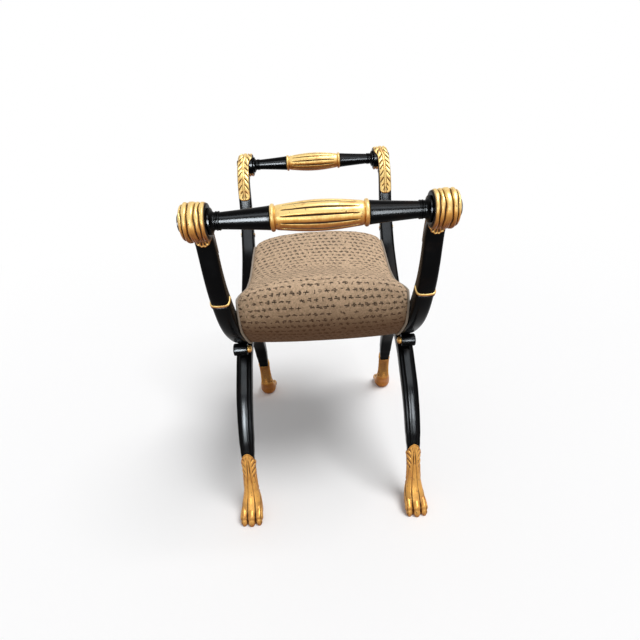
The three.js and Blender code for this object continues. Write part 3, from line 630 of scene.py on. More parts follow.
def seat_cloth():
    """Taupe cotton weave with rows of small dark brush dabs, browner underneath as painted shade
    and a painted warm reflection of the floor.
    """
    recipe = finish_recipe("seat_cloth")
    across = recipe.attribute("cloth_across")
    along = recipe.attribute("cloth_along")
    wander = recipe.noise(210, detail=3) - 0.5
    row = (along + recipe.noise(11, detail=1) * CLOTH_ROW_WANDER) / CLOTH_ROW_PITCH
    number = row.whole()
    level = row.part() * 2.2 + wander * 0.35 - 0.6
    spot = across / CLOTH_MARK_PITCH + number * 0.37 + wander * 0.25
    cell = spot.whole()
    inside = spot.part()
    one, two, three, four, five, six = (
        recipe.node("TexWhiteNoise", {}, {"Vector": vector}, output="Color").coordinate(axis)
        for vector in (recipe.pair(cell, number), recipe.pair(number, cell, 7.3)) for axis in "XYZ")
    leaning = inside + (level - 0.5) * (one - 0.5) * 0.5
    long_dab = leaning.within(0.5, two * 0.14 + 0.25, 0.05) * level.within(0.5, 0.14, 0.08)
    high_dab = (leaning.within(four * 0.4 + 0.3, three * 0.13 + 0.07, 0.04)
                * level.within(0.95, 0.12, 0.08))
    low_dab = (leaning.within(five * 0.4 + 0.3, two * 0.13 + 0.07, 0.04)
               * level.within(0.06, 0.12, 0.08))
    tick = (leaning.within(six * 0.5 + 0.25, 0.045, 0.03)
            * level.within(0.5, four * 0.3 + 0.35, 0.08))
    marks = (long_dab * two.rises(0.12, 0.14)).larger(high_dab * three.rises(0.35, 0.37))
    marks = marks.larger(low_dab * five.rises(0.4, 0.42)).larger(tick * six.rises(0.35, 0.37))
    ink = recipe.noise(560, detail=3, rough=0.7).rises(0.3, 0.44)
    marks = marks * ink * one.rises(0.02, 0.04)
    turn = 2 * math.pi / THREAD_PITCH
    thread = (across * turn).wave() * (along * turn).wave() * 0.5 + 0.5
    slub = recipe.noise(1.0, detail=3, place=recipe.pair(across, along).stretched(700, 90, 1))
    fleck = recipe.noise(300, detail=3, rough=0.75).rises(0.52, 0.7)
    fade = recipe.noise(9, detail=2)
    mottle = recipe.noise(230, detail=2, rough=0.8).rises(0.32, 0.68)
    ground = recipe.mixed(rgb(0.4, 0.28, 0.18), rgb(0.86, 0.63, 0.43),
                          thread * 0.2 + slub * 0.3 + mottle * 0.5)
    ground = recipe.mixed(ground, rgb(0.24, 0.16, 0.105), fleck * 0.5)
    ground = recipe.mixed(ground, rgb(0.42, 0.31, 0.22), fade.rises(0.45, 0.8) * 0.3)
    colour = recipe.mixed(ground, rgb(0.028, 0.02, 0.016), marks * 0.95)
    facing = recipe.facing_up()
    # Painted shade and a painted warm floor reflection: faces that look down turn dark brown
    under = (0 - facing).rises(-0.22, 0.6)
    colour = recipe.mixed(colour, rgb(0.1, 0.042, 0.017), under * 0.85)
    normal = recipe.bump(thread + slub * 0.8, 0.22 * mm, 0.8)
    return recipe.finish(colour, 0.9, normal, Specular_IOR_Level=0.15)


def plain_cloth(name, dark, light, pitch):
    """Plain woven cloth or cord with threads of one pitch."""
    recipe = finish_recipe(name)
    across = (recipe.place.coordinate("X") * (2 * math.pi / pitch)).wave()
    along = ((recipe.place.coordinate("Y") + recipe.place.coordinate("Z"))
             * (2 * math.pi / pitch)).wave()
    thread = across * along * 0.5 + 0.5
    worn = recipe.noise(70, detail=4)
    colour = recipe.mixed(rgb(*dark), rgb(*light), thread * 0.5 + worn * 0.5)
    normal = recipe.bump(thread + worn, 0.25 * mm, 0.7)
    return recipe.finish(colour, 0.85 + worn * 0.1, normal)


def bare_beech():
    """Unfinished beech with its grain along the stool."""
    recipe = finish_recipe("bare_beech")
    grain = recipe.noise(1.0, detail=5, place=recipe.place.stretched(190, 12, 190), twist=0.4)
    fleck = recipe.noise(1.0, detail=2, place=recipe.place.stretched(900, 160, 900))
    colour = recipe.mixed(rgb(0.33, 0.2, 0.1), rgb(0.56, 0.38, 0.22), grain)
    colour = recipe.mixed(colour, rgb(0.25, 0.14, 0.07), fleck.rises(0.62, 0.72) * 0.5)
    return recipe.finish(colour, 0.6 + grain * 0.2, recipe.bump(grain + fleck * 0.4, 0.3 * mm, 0.5))


def screw_steel():
    """Plain steel screws with turning marks and a little rust."""
    recipe = finish_recipe("screw_steel")
    rust = recipe.noise(350, detail=5, rough=0.7).rises(0.55, 0.7)
    ring = (recipe.place.coordinate("X") * (2 * math.pi / (0.8 * mm))).wave()
    colour = recipe.mixed(rgb(0.5, 0.5, 0.5), rgb(0.16, 0.07, 0.03), rust * 0.7)
    normal = recipe.bump(ring, 0.1 * mm, 0.4)
    return recipe.finish(colour, 0.3 + rust * 0.4, normal, Metallic=1 - rust * 0.8)


def pale_floor():
    """White studio floor that keeps the stool's soft shadow and fades into a white background."""
    recipe = finish_recipe("pale_floor")
    seen = recipe.seen()
    away = recipe.node("VectorMath", {"operation": "LENGTH"}, {0: recipe.place}, output="Value")
    far = away.rises(0.9, 2.6)
    shade = recipe.noise(0.7, detail=2)
    colour = recipe.mixed(rgb(0.96, 0.96, 0.965), rgb(0.98, 0.98, 0.985), shade)
    colour = recipe.mixed(rgb(0.5, 0.44, 0.38), colour, seen)
    paper = recipe.node("BsdfPrincipled", {}, {"Base Color": colour, "Roughness": 0.8})
    white = recipe.node("Emission", {}, {"Color": rgb(1, 1, 1), "Strength": 1.0})
    surface = recipe.node("MixShader", {}, {0: seen * (far * 0.94 + 0.06), 1: paper, 2: white})
    recipe.output(surface)
    return recipe.holder


LACQUER = ebonised_lacquer()
GILDING = water_gilding()
SEAT_CLOTH = seat_cloth()
PIPING_CLOTH = plain_cloth("piping_cloth", (0.2, 0.165, 0.13), (0.46, 0.39, 0.32), 1.1 * mm)
WEBBING = plain_cloth("jute_webbing", (0.2, 0.155, 0.09), (0.4, 0.32, 0.2), 2.4 * mm)
LINING = plain_cloth("black_cambric", (0.012, 0.011, 0.01), (0.045, 0.04, 0.036), 0.8 * mm)
BEECH = bare_beech()
STEEL = screw_steel()


# Upright with the drum of its scroll
def upright_shape():
    steps = 90
    outline = section_outline(UPPER_SECTION_SHARES)
    rings = [member_ring(upper.at(i / steps), outline) for i in range(steps + 1)]
    cheek = DRUM_RADIUS + CHEEK_BULGE
    profile = rounded([
        (DRUM_INNER, 0), (DRUM_INNER, cheek - 2.5 * mm), (DRUM_INNER + 0.6 * mm, cheek),
        (DRUM_INNER + CHEEK_DEPTH - 0.5 * mm, cheek), (DRUM_INNER + CHEEK_DEPTH, DRUM_RADIUS),
        (DRUM_OUTER - DRUM_BEVEL, DRUM_RADIUS), (DRUM_OUTER - 1 * mm, DRUM_RADIUS - 4 * mm),
        (DRUM_OUTER, DRUM_RADIUS - DRUM_BEVEL), (DRUM_OUTER, 0)], DRUM_ROUNDING)
    drum = turned(profile, 96).placed(shift=(0, RAIL_Y, RAIL_Z))
    bead = band_shape(BEAD_PLACE, BEAD_LENGTH, BEAD_PROUD)
    return boolean(boolean(loft(rings), drum, "UNION"), bead, "UNION")


# Gilt half-round band and the black bead below it, over the outer face of each upright
BAND_PLACE_SHARE = 0.492
BEAD_PLACE = -5.4 * mm  # along the upright, from the gilt band
BEAD_LENGTH = 4.6 * mm
BEAD_PROUD = 1.5 * mm
BAND_ROOT = 1.2 * mm  # how far a band's ends are sunk into the wood
BAND_REACH_SHARE = 0.3  # of half the depth: it covers the outer face and its corners


def band_shape(offset, length, proud):
    (y, z), away, depth, width = upper.at(BAND_PLACE_SHARE)
    along = np.array([-away[1], away[0]])
    outline = section_outline(UPPER_SECTION_SHARES, 6)
    outline = np.roll(outline, -int(np.argmin(outline[:, 1])), axis=0)
    face = outline[outline[:, 1] > -BAND_REACH_SHARE]
    strip = np.vstack([[(-1, -BAND_REACH_SHARE)], face, [(1, -BAND_REACH_SHARE)]])
    rings = []
    for angle in half_turn(12):
        centre = np.array([y, z]) + along * (offset - math.cos(angle) * length / 2)
        rings.append(member_ring((centre, away, depth, width), strip, math.sin(angle) * proud))
    for side in (1, -1):
        centre = np.array([y, z]) + along * (offset + side * length / 2)
        rings.append(member_ring((centre, away, depth, width), strip, -BAND_ROOT))
    return loft(np.stack(rings, axis=1))


# Leg with its raised middle band; its end thins out of sight inside the gilt ankle
SOCK_LAP = 1.5 * mm
LEG_END_TAPER = 4 * mm
LEG_END_SHRINK_SHARE = 0.2


def leg_shape():
    steps = 80
    outline = section_outline(LEG_SECTION_SHARES)
    rings = []
    for i in range(steps + 1):
        share = i / steps
        (y, z), away, depth, width = lower.at(share)
        draw_in = 1 - 0.06 * smooth(0.8, 0.86, share) - 0.09 * smooth(0.87, 0.93, share)
        ring = member_ring(((y, z), away, depth * draw_in, width * draw_in), outline)
        covered = sock_height(ring[:, 0], ring[:, 1]) - SOCK_LAP - ring[:, 2]
        thinner = 1 - LEG_END_SHRINK_SHARE * smooth(0, LEG_END_TAPER, covered)
        middle = ring.mean(axis=0)
        rings.append(middle + (ring - middle) * thinner[:, None])
    leg = loft(rings)
    roll_seat = turned([(-MEMBER_WIDTH, 0), (-MEMBER_WIDTH, ROLL_RADIUS + FIT_GAP),
                        (MEMBER_WIDTH, ROLL_RADIUS + FIT_GAP), (MEMBER_WIDTH, 0)], 64)
    leg = boolean(leg, roll_seat.placed(shift=(0, *roll_centre)), "DIFFERENCE")
    upper_outline = section_outline(UPPER_SECTION_SHARES)
    upper_rings = [member_ring(upper.at(i / 60 * 0.5), upper_outline, FIT_GAP) for i in range(61)]
    return boolean(leg, loft(upper_rings), "DIFFERENCE")


# Roll in the angle between upright and leg
ROLL_RADIUS = 14 * mm
ROLL_PLACE_SHARE = 0.136
ROLL_INNER = 12 * mm
ROLL_OUTER = 20 * mm
roll_point, roll_away, roll_depth, _ = upper.at(ROLL_PLACE_SHARE)
roll_centre = roll_point + roll_away * (roll_depth + ROLL_RADIUS + FIT_GAP)


def roll_shape():
    profile = rounded([
        (-ROLL_INNER, 0), (-ROLL_INNER, ROLL_RADIUS), (ROLL_OUTER - 2 * mm, ROLL_RADIUS),
        (ROLL_OUTER - 0.8 * mm, ROLL_RADIUS - 2.5 * mm), (ROLL_OUTER, 0)], 2 * mm)
    return turned(profile, 64)


def dome_profile(base, height, radius, rim_share, steps=8):
    rim = base + height * rim_share
    profile = [(base, 0), (base, radius - 0.3 * mm), (base + 0.3 * mm, radius), (rim, radius)]
    for i in range(1, steps + 1):
        angle = math.pi / 2 * i / steps
        profile.append((rim + (base + height - rim) * math.sin(angle), radius * math.cos(angle)))
    return profile


ROLL_BUTTON_HEIGHT = 9 * mm
ROLL_BUTTON_RADIUS = 8.5 * mm
PETALS = 8
PETAL_DEPTH = 0.7 * mm


def roll_button_shape():
    def relief(x, angles):
        depth = smooth(ROLL_INNER + 3 * mm, ROLL_INNER + 6 * mm, np.full(len(angles), abs(x)))
        return PETAL_DEPTH * depth * np.abs(np.cos(angles * PETALS / 2)) ** 6

    profile = dome_profile(ROLL_INNER + FIT_GAP, ROLL_BUTTON_HEIGHT, ROLL_BUTTON_RADIUS, 0.3)
    return turned([(-x, r) for x, r in profile], 64, relief)


# Arm rail
RING_CENTRE = 68 * mm
RING_WIDTH = 6.5 * mm
RING_RADIUS = 20.5 * mm
RING_FULLNESS_SHARE = 0.9
BARREL_END_RADIUS = 17.5 * mm
BARREL_MID_RADIUS = 23 * mm
BARREL_QUIRK_DEPTH = 1.1 * mm  # groove beside each ring
BARREL_QUIRK_WIDTH = 1.6 * mm
FLUTES = 12
FLUTE_DEPTH = 1.9 * mm
LOBE_ROUND = 0.9 * mm
FLUTE_END_SHARE = 0.86  # of the half length of the barrel's body


def barrel_shape():
    body = RING_CENTRE - RING_WIDTH / 2
    half_ring = RING_WIDTH / 2
    ring = [(RING_CENTRE - math.cos(angle) * half_ring,
             RING_RADIUS - half_ring + math.sin(angle) * half_ring * RING_FULLNESS_SHARE)
            for angle in half_turn(8)]
    inner = []
    steps = 64
    for i in range(steps + 1):
        share = i / steps
        x = (share * 2 - 1) * (body - 0.2 * mm)
        swollen = (BARREL_MID_RADIUS - BARREL_END_RADIUS) * math.sin(share * math.pi)
        quirk = BARREL_QUIRK_DEPTH * ridge(abs(x) - body, BARREL_QUIRK_WIDTH)
        inner.append((x, BARREL_END_RADIUS + swollen - quirk))
    left = [(-x, r) for x, r in reversed(ring)]
    profile = [(left[0][0], 0), *left, *inner, *ring, (ring[-1][0], 0)]

    def relief(x, angles):
        opening = max(1 - (x / (FLUTE_END_SHARE * body)) ** 2, 0) ** 0.5
        turn = np.abs((angles / (2 * math.pi) * FLUTES) % 1 - 0.5)
        groove = ridge(turn, 0.04 + 0.045 * opening) * FLUTE_DEPTH * smooth(0, 0.25, opening)
        return groove + LOBE_ROUND * (1 - 2 * turn) ** 2 * opening

    return turned(profile, 240, relief)


BELL_RADIUS = 19.4 * mm
BELL_RIM = 3.6 * mm
SHAFT_END = 143 * mm
SHAFT_RADIUS = 17.7 * mm
SHAFT_TAPER = 5.2 * mm
NECK_RADIUS = 12.5 * mm
NECK_BEAD_PLACES = (SHAFT_END + 2.2 * mm, SHAFT_END + 5.8 * mm)
NECK_BEAD_HALF_LENGTH = 1.6 * mm
NECK_BEAD_PROUD = 1.5 * mm
FLARE_START = SHAFT_END + 8 * mm
FLARE_RADIUS = 12.9 * mm
FLARE_GROWTH = 4.6 * mm


def shaft_shape():
    start = RING_CENTRE + RING_WIDTH / 2 + FIT_GAP
    cheek = FRAME_X + DRUM_INNER - FIT_GAP
    profile = [(start, 0), (start, SHAFT_RADIUS - 0.8 * mm), (start + 0.8 * mm, SHAFT_RADIUS)]
    for i in range(1, 25):
        share = i / 24
        x = start + (SHAFT_END - start) * share
        profile.append((x, SHAFT_RADIUS - SHAFT_TAPER * share ** 0.85))
    for place in NECK_BEAD_PLACES:
        profile += [(place - math.cos(angle) * NECK_BEAD_HALF_LENGTH,
                     NECK_RADIUS + NECK_BEAD_PROUD * math.sin(angle)) for angle in half_turn(8)]
    for share in np.linspace(0, 1, 14):
        x = FLARE_START + (cheek - BELL_RIM - FLARE_START) * share
        profile.append((x, FLARE_RADIUS + FLARE_GROWTH * share ** 2.4))
    bell = cheek - BELL_RIM
    profile += [(bell + 0.2 * mm, BELL_RADIUS - 0.6 * mm), (bell + 0.8 * mm, BELL_RADIUS),
                (cheek - 0.6 * mm, BELL_RADIUS), (cheek, BELL_RADIUS - 0.7 * mm), (cheek, 0)]
    return turned(profile, 96)


END_BUTTON_HEIGHT = 4.6 * mm
END_BUTTON_RADIUS = 13.4 * mm
END_BUTTON_RIM_SHARE = 0.72


def end_button_shape():
    base = FRAME_X + DRUM_OUTER + FIT_GAP
    profile = dome_profile(base, END_BUTTON_HEIGHT, END_BUTTON_RADIUS, END_BUTTON_RIM_SHARE)
    return turned(profile, 64)


# Gilt leaf: up the inner face of the upright, round the drum, and a fan on the outer face
TONGUE_ROWS = 40
NECK_EASE_SHIFT = 9 * mm  # the bend where the tongue meets the drum is eased about this place
NECK_EASE_REACH = 22 * mm
LEAF_TIP_SHARE = 0.66
LEAF_NECK_SHARE = 0.947
LEAF_TURN_START = 142 * deg
LEAF_TURN_END = -136 * deg
TONGUE_HALF_WIDTH = 14.9 * mm
# Lobes across the drum from the inboard side: start and end shares, height
LOBE_SHARES = [(0.0, 0.17, 0.72), (0.2, 0.34, 0.84), (0.37, 0.62, 1.0),
               (0.65, 0.83, 0.94), (0.86, 1.0, 0.72)]
LOBE_HEIGHT = 4.1 * mm
LEAF_BASE = 1.1 * mm


def leaf_path():
    """Base line of the leaf from its tip to its end: places, outward directions, lengths."""
    points = []
    for share in np.linspace(LEAF_TIP_SHARE, LEAF_NECK_SHARE, TONGUE_ROWS):
        (y, z), away, depth, _ = upper.at(share)
        points.append((y - away[0] * depth, z - away[1] * depth))
    for angle in np.linspace(LEAF_TURN_START, LEAF_TURN_END, 90):
        points.append((RAIL_Y + DRUM_RADIUS * math.cos(angle),
                       RAIL_Z + DRUM_RADIUS * math.sin(angle)))
    points = np.array(points)
    lengths = running_lengths(points)
    drum_start = lengths[TONGUE_ROWS]
    marks = np.linspace(0, lengths[-1], 180)
    points = np.stack(follow(marks, lengths, points), 1)
    near = np.where(np.abs(marks - drum_start + NECK_EASE_SHIFT) < NECK_EASE_REACH)[0]
    for _ in range(30):
        points[near] = (points[near - 1] + 2 * points[near] + points[near + 1]) / 4
    lengths = running_lengths(points)
    return points, quarter_turned(np.gradient(points, lengths, axis=0)), lengths, drum_start


VEIN_PITCH = 16.5 * mm
VEIN_DEPTH = 1.7 * mm
VEIN_WIDTH = 1.5 * mm


def herringbone(s, u, half_width):
    """Carved face of the acanthus tongue: midrib, veins that slope down and out, a plain lip."""
    away = np.abs(u)
    height = 2.5 * mm - 0.7 * mm * away ** 2 + 0.5 * mm * ridge(u, 0.08)
    height -= 1.1 * mm * ridge(away - 0.17, 0.045)
    phase = (s + 1.35 * (away - 0.25) * half_width) / VEIN_PITCH
    place = (phase % 1 - 0.5) * VEIN_PITCH
    body = smooth(19 * mm, 25 * mm, s + 5 * mm * away)
    zone = smooth(0.2, 0.34, away) * smooth(0.94, 0.72, away) * body
    height += 0.5 * mm * np.cos(phase * 2 * math.pi) * zone
    height -= VEIN_DEPTH * ridge(place, VEIN_WIDTH * (1.15 - 0.5 * away)) * zone
    gouge = ridge(u, 0.07) + ridge(away - 0.16 - 0.022 * (17 - s / mm), 0.075)
    tip = smooth(5 * mm, 7 * mm, s - 2 * mm * away) * (1 - smooth(14 * mm, 19 * mm, s))
    height = height * smooth(-2 * mm, 4 * mm, s) - 1.3 * mm * gouge * tip
    return height


def lobes(u, turn):
    """Reeds across the drum, a little uneven as cut by hand."""
    share = (u + 1) / 2
    share = share + 0.016 * np.sin(turn * 2.7 + share * 9) + 0.008 * np.sin(turn * 7.3 + share * 21)
    height = np.zeros_like(share)
    for start, end, top in LOBE_SHARES:
        offset = (share - (start + end) / 2) / ((end - start) / 2)
        height = np.maximum(height, top * np.clip(1 - np.abs(offset) ** 3.2, 0, 1) ** 0.5)
    return LEAF_BASE + LOBE_HEIGHT * height


def lobe_split(u, turn):
    """Fine lines that part the reeds lower down on the outer side."""
    share = (u + 1) / 2
    fine = np.zeros_like(share)
    for place, width in ((0.08, 0.012), (0.265, 0.012), (0.45, 0.01), (0.52, 0.01), (0.73, 0.012)):
        fine += ridge(share - place, width)
    return -1.0 * mm * fine * smooth(10 * deg, -50 * deg, turn)


OUTER_TURN_DOWN = 5.5 * mm
LEAF_TIP_ROUND = 13 * mm
LOBE_END_BULGE = 4.5 * mm
LOBE_END_SET = 5 * mm
LEAF_LIP = 0.9 * mm
LEAF_ROOT = 0.4 * mm


def turn_down(u):
    """How far the drum falls away towards its outer cheek."""
    share = (u + 1) / 2
    return OUTER_TURN_DOWN * np.clip((share - 0.74) / 0.26, 0, 1) ** 2


def leaf_shape():
    points, outward, lengths, drum_start = leaf_path()
    total = lengths[-1]
    rows, columns = 300, 84
    u = np.linspace(-1, 1, columns)
    share = (u + 1) / 2
    start = LEAF_TIP_ROUND * (1 - np.sqrt(np.clip(1 - (u * 0.97) ** 2, 0, 1)))
    end = np.full(columns, total)
    for low, high, _ in LOBE_SHARES:
        offset = (share - (low + high) / 2) / ((high - low) / 2 + 0.006)
        bulge = LOBE_END_BULGE * np.sqrt(np.clip(1 - offset ** 2, 0, 1))
        end = np.where(np.abs(offset) < 1, total - LOBE_END_SET + bulge, end)
    end = np.where(end == total, total - LOBE_END_SET, end)
    t = np.linspace(0, 1, rows)[:, None]
    s = start[None, :] + (end - start)[None, :] * t
    u = np.broadcast_to(u, s.shape)
    on_drum = smooth(drum_start - 12 * mm, drum_start + 8 * mm, s)
    inner_edge = DRUM_INNER + CHEEK_DEPTH - 0.4 * mm
    drum_middle = (inner_edge + DRUM_OUTER) / 2
    drum_half = (DRUM_OUTER - inner_edge) / 2
    half_width = TONGUE_HALF_WIDTH + (drum_half - TONGUE_HALF_WIDTH) * on_drum
    middle = drum_middle * on_drum
    turn = LEAF_TURN_START - (s - drum_start) / DRUM_RADIUS
    reeded = smooth(104 * deg, 84 * deg, turn)
    reeds = lobes(u, turn) + lobe_split(u, turn)
    height = herringbone(s, u, half_width) * (1 - reeded) + reeds * reeded
    edge = smooth(1.0, 0.9, np.abs(u)) ** 0.5
    rim = smooth(0, 2.5 * mm, s - start) ** 0.5 * smooth(0, 2.5 * mm, end - s) ** 0.5
    height = LEAF_LIP + (height - LEAF_LIP) * edge * rim
    fall = turn_down(u) * on_drum
    deep = np.clip((height - LEAF_LIP) / (1.9 * mm + 1.6 * mm * reeded), 0, 1)
    y, z = follow(s, lengths, points)
    out_y, out_z = follow(s, lengths, outward)
    x = middle + u * half_width

    def skin(lift):
        return np.stack([x, y + out_y * lift, z + out_z * lift], axis=2)

    top = skin(height - fall)
    bottom = skin(-LEAF_ROOT - fall)[:, ::-1][:, ::6]
    rings = np.concatenate([top, bottom], axis=1)
    carving = np.concatenate([deep, np.ones(bottom.shape[:2])], axis=1)
    leaf = loft(rings, carving)
    return leaf.joined(fan_shape())


FAN_HALF_WIDTH = 15.4 * mm
FAN_TOP_SHARE = 0.955
FAN_CENTRE = 20 * mm
FAN_LENGTH = 42 * mm
FAN_HEIGHT = 2.4 * mm
FAN_BORDER = 0.8 * mm
FAN_GOUGE_DEPTH = 1.8 * mm
FAN_LIP = 0.5 * mm
FACE_ROUND_SHARE = 0.36  # of half the depth, lost at the sides of an upright's outer face
FACE_ROUND_POWER = 4.6


def fan_shape():
    """Fan of radiating gouges with a raised border, on the outer face below the drum."""
    shares = np.linspace(FAN_TOP_SHARE, 0.6, 60)
    places = [upper.at(share) for share in shares]
    face = np.array([(p[0] + p[1] * p[2]) for p in places])
    outward = np.array([p[1] for p in places])
    lengths = running_lengths(face)
    rows, columns = 34, 96
    rho = np.linspace(0.02, 1, rows)[:, None]
    phi = np.linspace(-0.3 * math.pi, 1.3 * math.pi, columns)[None, :]
    scallop = 1 + 0.03 * np.cos(phi * 14)
    x = rho * FAN_HALF_WIDTH * np.cos(phi) * scallop
    depth = np.array([p[2] for p in places])
    width = np.array([p[3] for p in places])
    s = FAN_CENTRE + rho * (FAN_LENGTH - FAN_CENTRE) * np.sin(phi) * scallop
    gouges = np.abs(np.cos(phi * 7)) ** 3 * smooth(0.1, 0.3, rho) * (1 - smooth(0.78, 0.9, rho))
    border = ridge(rho - 0.9, 0.07)
    height = FAN_HEIGHT + FAN_BORDER * border - FAN_GOUGE_DEPTH * gouges
    height = FAN_LIP + (height - FAN_LIP) * smooth(1.0, 0.93, rho) ** 0.5
    across = np.clip(np.abs(x) / np.interp(s, lengths, width), 0, 1.1)
    drop = np.interp(s, lengths, depth) * FACE_ROUND_SHARE * across ** FACE_ROUND_POWER
    y, z = follow(s, lengths, face)
    out_y, out_z = follow(s, lengths, outward)
    lift = height - drop
    top = np.stack([x, y + out_y * lift, z + out_z * lift], axis=2)
    drop = drop + 1 * mm
    under = np.stack([x, y - out_y * drop, z - out_z * drop], axis=2)
    deep = np.clip((height - 0.8 * mm) / (2 * mm), 0, 1)
    rings = np.concatenate([top, under[::-1][::6]], axis=0)
    carving = np.concatenate([deep, np.ones((rings.shape[0] - rows, columns))], axis=0)
    return loft(rings.transpose(1, 0, 2), carving.T)


# Paw foot
PAW_LENGTH = 62 * mm
PAW_HALF_WIDTH = 25 * mm
PAW_HEIGHT = 54 * mm
ANKLE_SHARES = [
    (0.655, 0.55, 0.96, 0.87), (0.686, 0.5, 0.96, 0.87), (0.709, 0.45, 0.96, 0.87),
    (0.735, 0.385, 0.95, 0.85), (0.76, 0.31, 0.92, 0.83), (0.779, 0.235, 0.93, 0.86),
    (0.8, 0.165, 1.04, 1.0), (0.835, 0.11, 1.24, 1.2), (0.87, 0.062, 1.36, 1.38),
    (0.876, 0.03, 1.32, 1.34), (0.878, 0.005, 1.08, 1.12),
]
PAD_SHARES = [(0.3, 0.14, 0.4), (0.37, 0.34, 0.7), (0.46, 0.5, 0.86), (0.56, 0.56, 0.92),
              (0.72, 0.46, 0.92), (0.86, 0.26, 0.84)]
TOE_SHARES = [(0.3, 0.6, 0.45), (0.42, 0.55, 0.66), (0.54, 0.48, 0.86), (0.66, 0.41, 0.98),
              (0.75, 0.34, 1.04), (0.815, 0.27, 1.08), (0.865, 0.2, 0.8)]
CLAW_SHARES = [(0.86, 0.2, 0.74), (0.915, 0.155, 0.9), (0.965, 0.08, 0.6), (0.985, 0.03, 0.25)]
PAD_ROUND_SHARE = 0.55  # the pad's half height, as a share of its top's
PAW_VOXEL = 0.9 * mm
TOE_RADIUS = 8.9 * mm
TOE_PLACE_SHARES = (-0.66, 0.0, 0.66)
ankle_rows = [(y * HALF_SPREAD, z * ARCH_HEIGHT, u * MEMBER_WIDTH / 2, v * LEG_DEPTH / 2)
              for y, z, u, v in ANKLE_SHARES]


def ellipse_ring(centre, across, up, around):
    angles = np.arange(around) / around * 2 * math.pi
    return np.array(centre) + np.outer(np.cos(angles), across) + np.outer(np.sin(angles), up)


def resampled(rows, count):
    return [catmull_rom(rows, i / (count - 1)) for i in range(count)]


def paw_shape():
    heel = HALF_SPREAD - PAW_LENGTH
    body = loft([ellipse_ring((0, y, z), (u, 0, 0), (0, v, 0), 40)
                 for y, z, u, v in resampled(ankle_rows, 40)])
    pad_rows = [(heel + y * PAW_LENGTH, z * PAW_HEIGHT, u * PAW_HALF_WIDTH)
                for y, z, u in PAD_SHARES]
    body = body.joined(loft([
        ellipse_ring((0, y, z * (1 - PAD_ROUND_SHARE)), (u, 0, 0), (0, 0, z * PAD_ROUND_SHARE), 40)
        for y, z, u in resampled(pad_rows, 24)]))
    for place in TOE_PLACE_SHARES:
        size = 0.97 if place else 1.05
        reach = 1.0 if place == 0 else 0.96
        for shares, lean in ((TOE_SHARES, 0.55), (CLAW_SHARES, 0.2)):
            rows = [(heel + y * PAW_LENGTH * (reach if y > 0.6 else 1), z * PAW_HEIGHT,
                     r * TOE_RADIUS * size) for y, z, r in shares]
            wide = 0.98 if lean > 0.3 else 0.92
            x = place * PAW_HALF_WIDTH
            body = body.joined(loft([
                ellipse_ring((x, y, z), (r * wide, 0, 0), (0, r * lean, r), 32)
                for y, z, r in resampled(rows, 26)]))
    paw = carved_paw(relaxed(remeshed(body, PAW_VOXEL), 4))
    cut = boolean(paw, sock_cutter(), "DIFFERENCE")
    tree = search_tree(list(enumerate(paw.points)))
    cut.carving = np.array([paw.carving[tree.find(point)[1]] for point in cut.points])
    return cut


SOCK_MIDDLE = 199.5 * mm
SOCK_ARCH_HALF_WIDTH = 16.1 * mm
SOCK_SIDE_HEIGHT = 127 * mm
SOCK_SLOPE = 0.25
SOCK_ARCH = 28.5 * mm
CUTTER_HALF_WIDTH = 24 * mm
CUTTER_NEAR, CUTTER_FAR, CUTTER_TOP = 0.14, 0.24, 0.215


def sock_height(x, y):
    """Height of the gilding's upper edge over a place on the ankle."""
    front = y - SOCK_MIDDLE
    arch = np.sqrt(np.clip(1 - (x / SOCK_ARCH_HALF_WIDTH) ** 2, 0, 1))
    return SOCK_SIDE_HEIGHT + SOCK_SLOPE * front + SOCK_ARCH * arch * smooth(2 * mm, 12 * mm, front)


def sock_cutter():
    """Block above the gilding's upper edge."""
    xs = np.linspace(-CUTTER_HALF_WIDTH, CUTTER_HALF_WIDTH, 49)
    ys = np.linspace(CUTTER_NEAR, CUTTER_FAR, 61)
    grid_x, grid_y = np.meshgrid(xs, ys, indexing="ij")
    low = sock_height(grid_x, grid_y)
    bottom = np.stack([grid_x, grid_y, low], axis=2)
    top = np.stack([grid_x, grid_y, np.full(low.shape, CUTTER_TOP)], axis=2)
    return loft(np.concatenate([bottom, top[:, ::-1]], axis=1))


# Grooves of the foot by height: half distance of the inner and the outer pair, and half width
GROOVE_ROWS = np.array([
    (0, 8.8, 21.5, 25.0), (40, 8.8, 21.0, 23.5), (55, 7.6, 18.6, 20.5), (75, 5.6, 14.9, 17.6),
    (105, 3.6, 10.9, 16.4), (125, 2.2, 8.0, 16.4), (145, 1.0, 6.0, 16.5),
    (160, 0.6, 5.0, 16.5)]) * mm
FRONT_HAIR_PITCH = 14.5 * mm
HEEL_HAIR_PITCH = 9.7 * mm
HAIR_RISE = 36 * mm  # how much higher a stroke lies for each radian away from the middle
SOCK_BORDER = 0.8 * mm
FULL_PAW_HOLLOW = 2.2 * mm


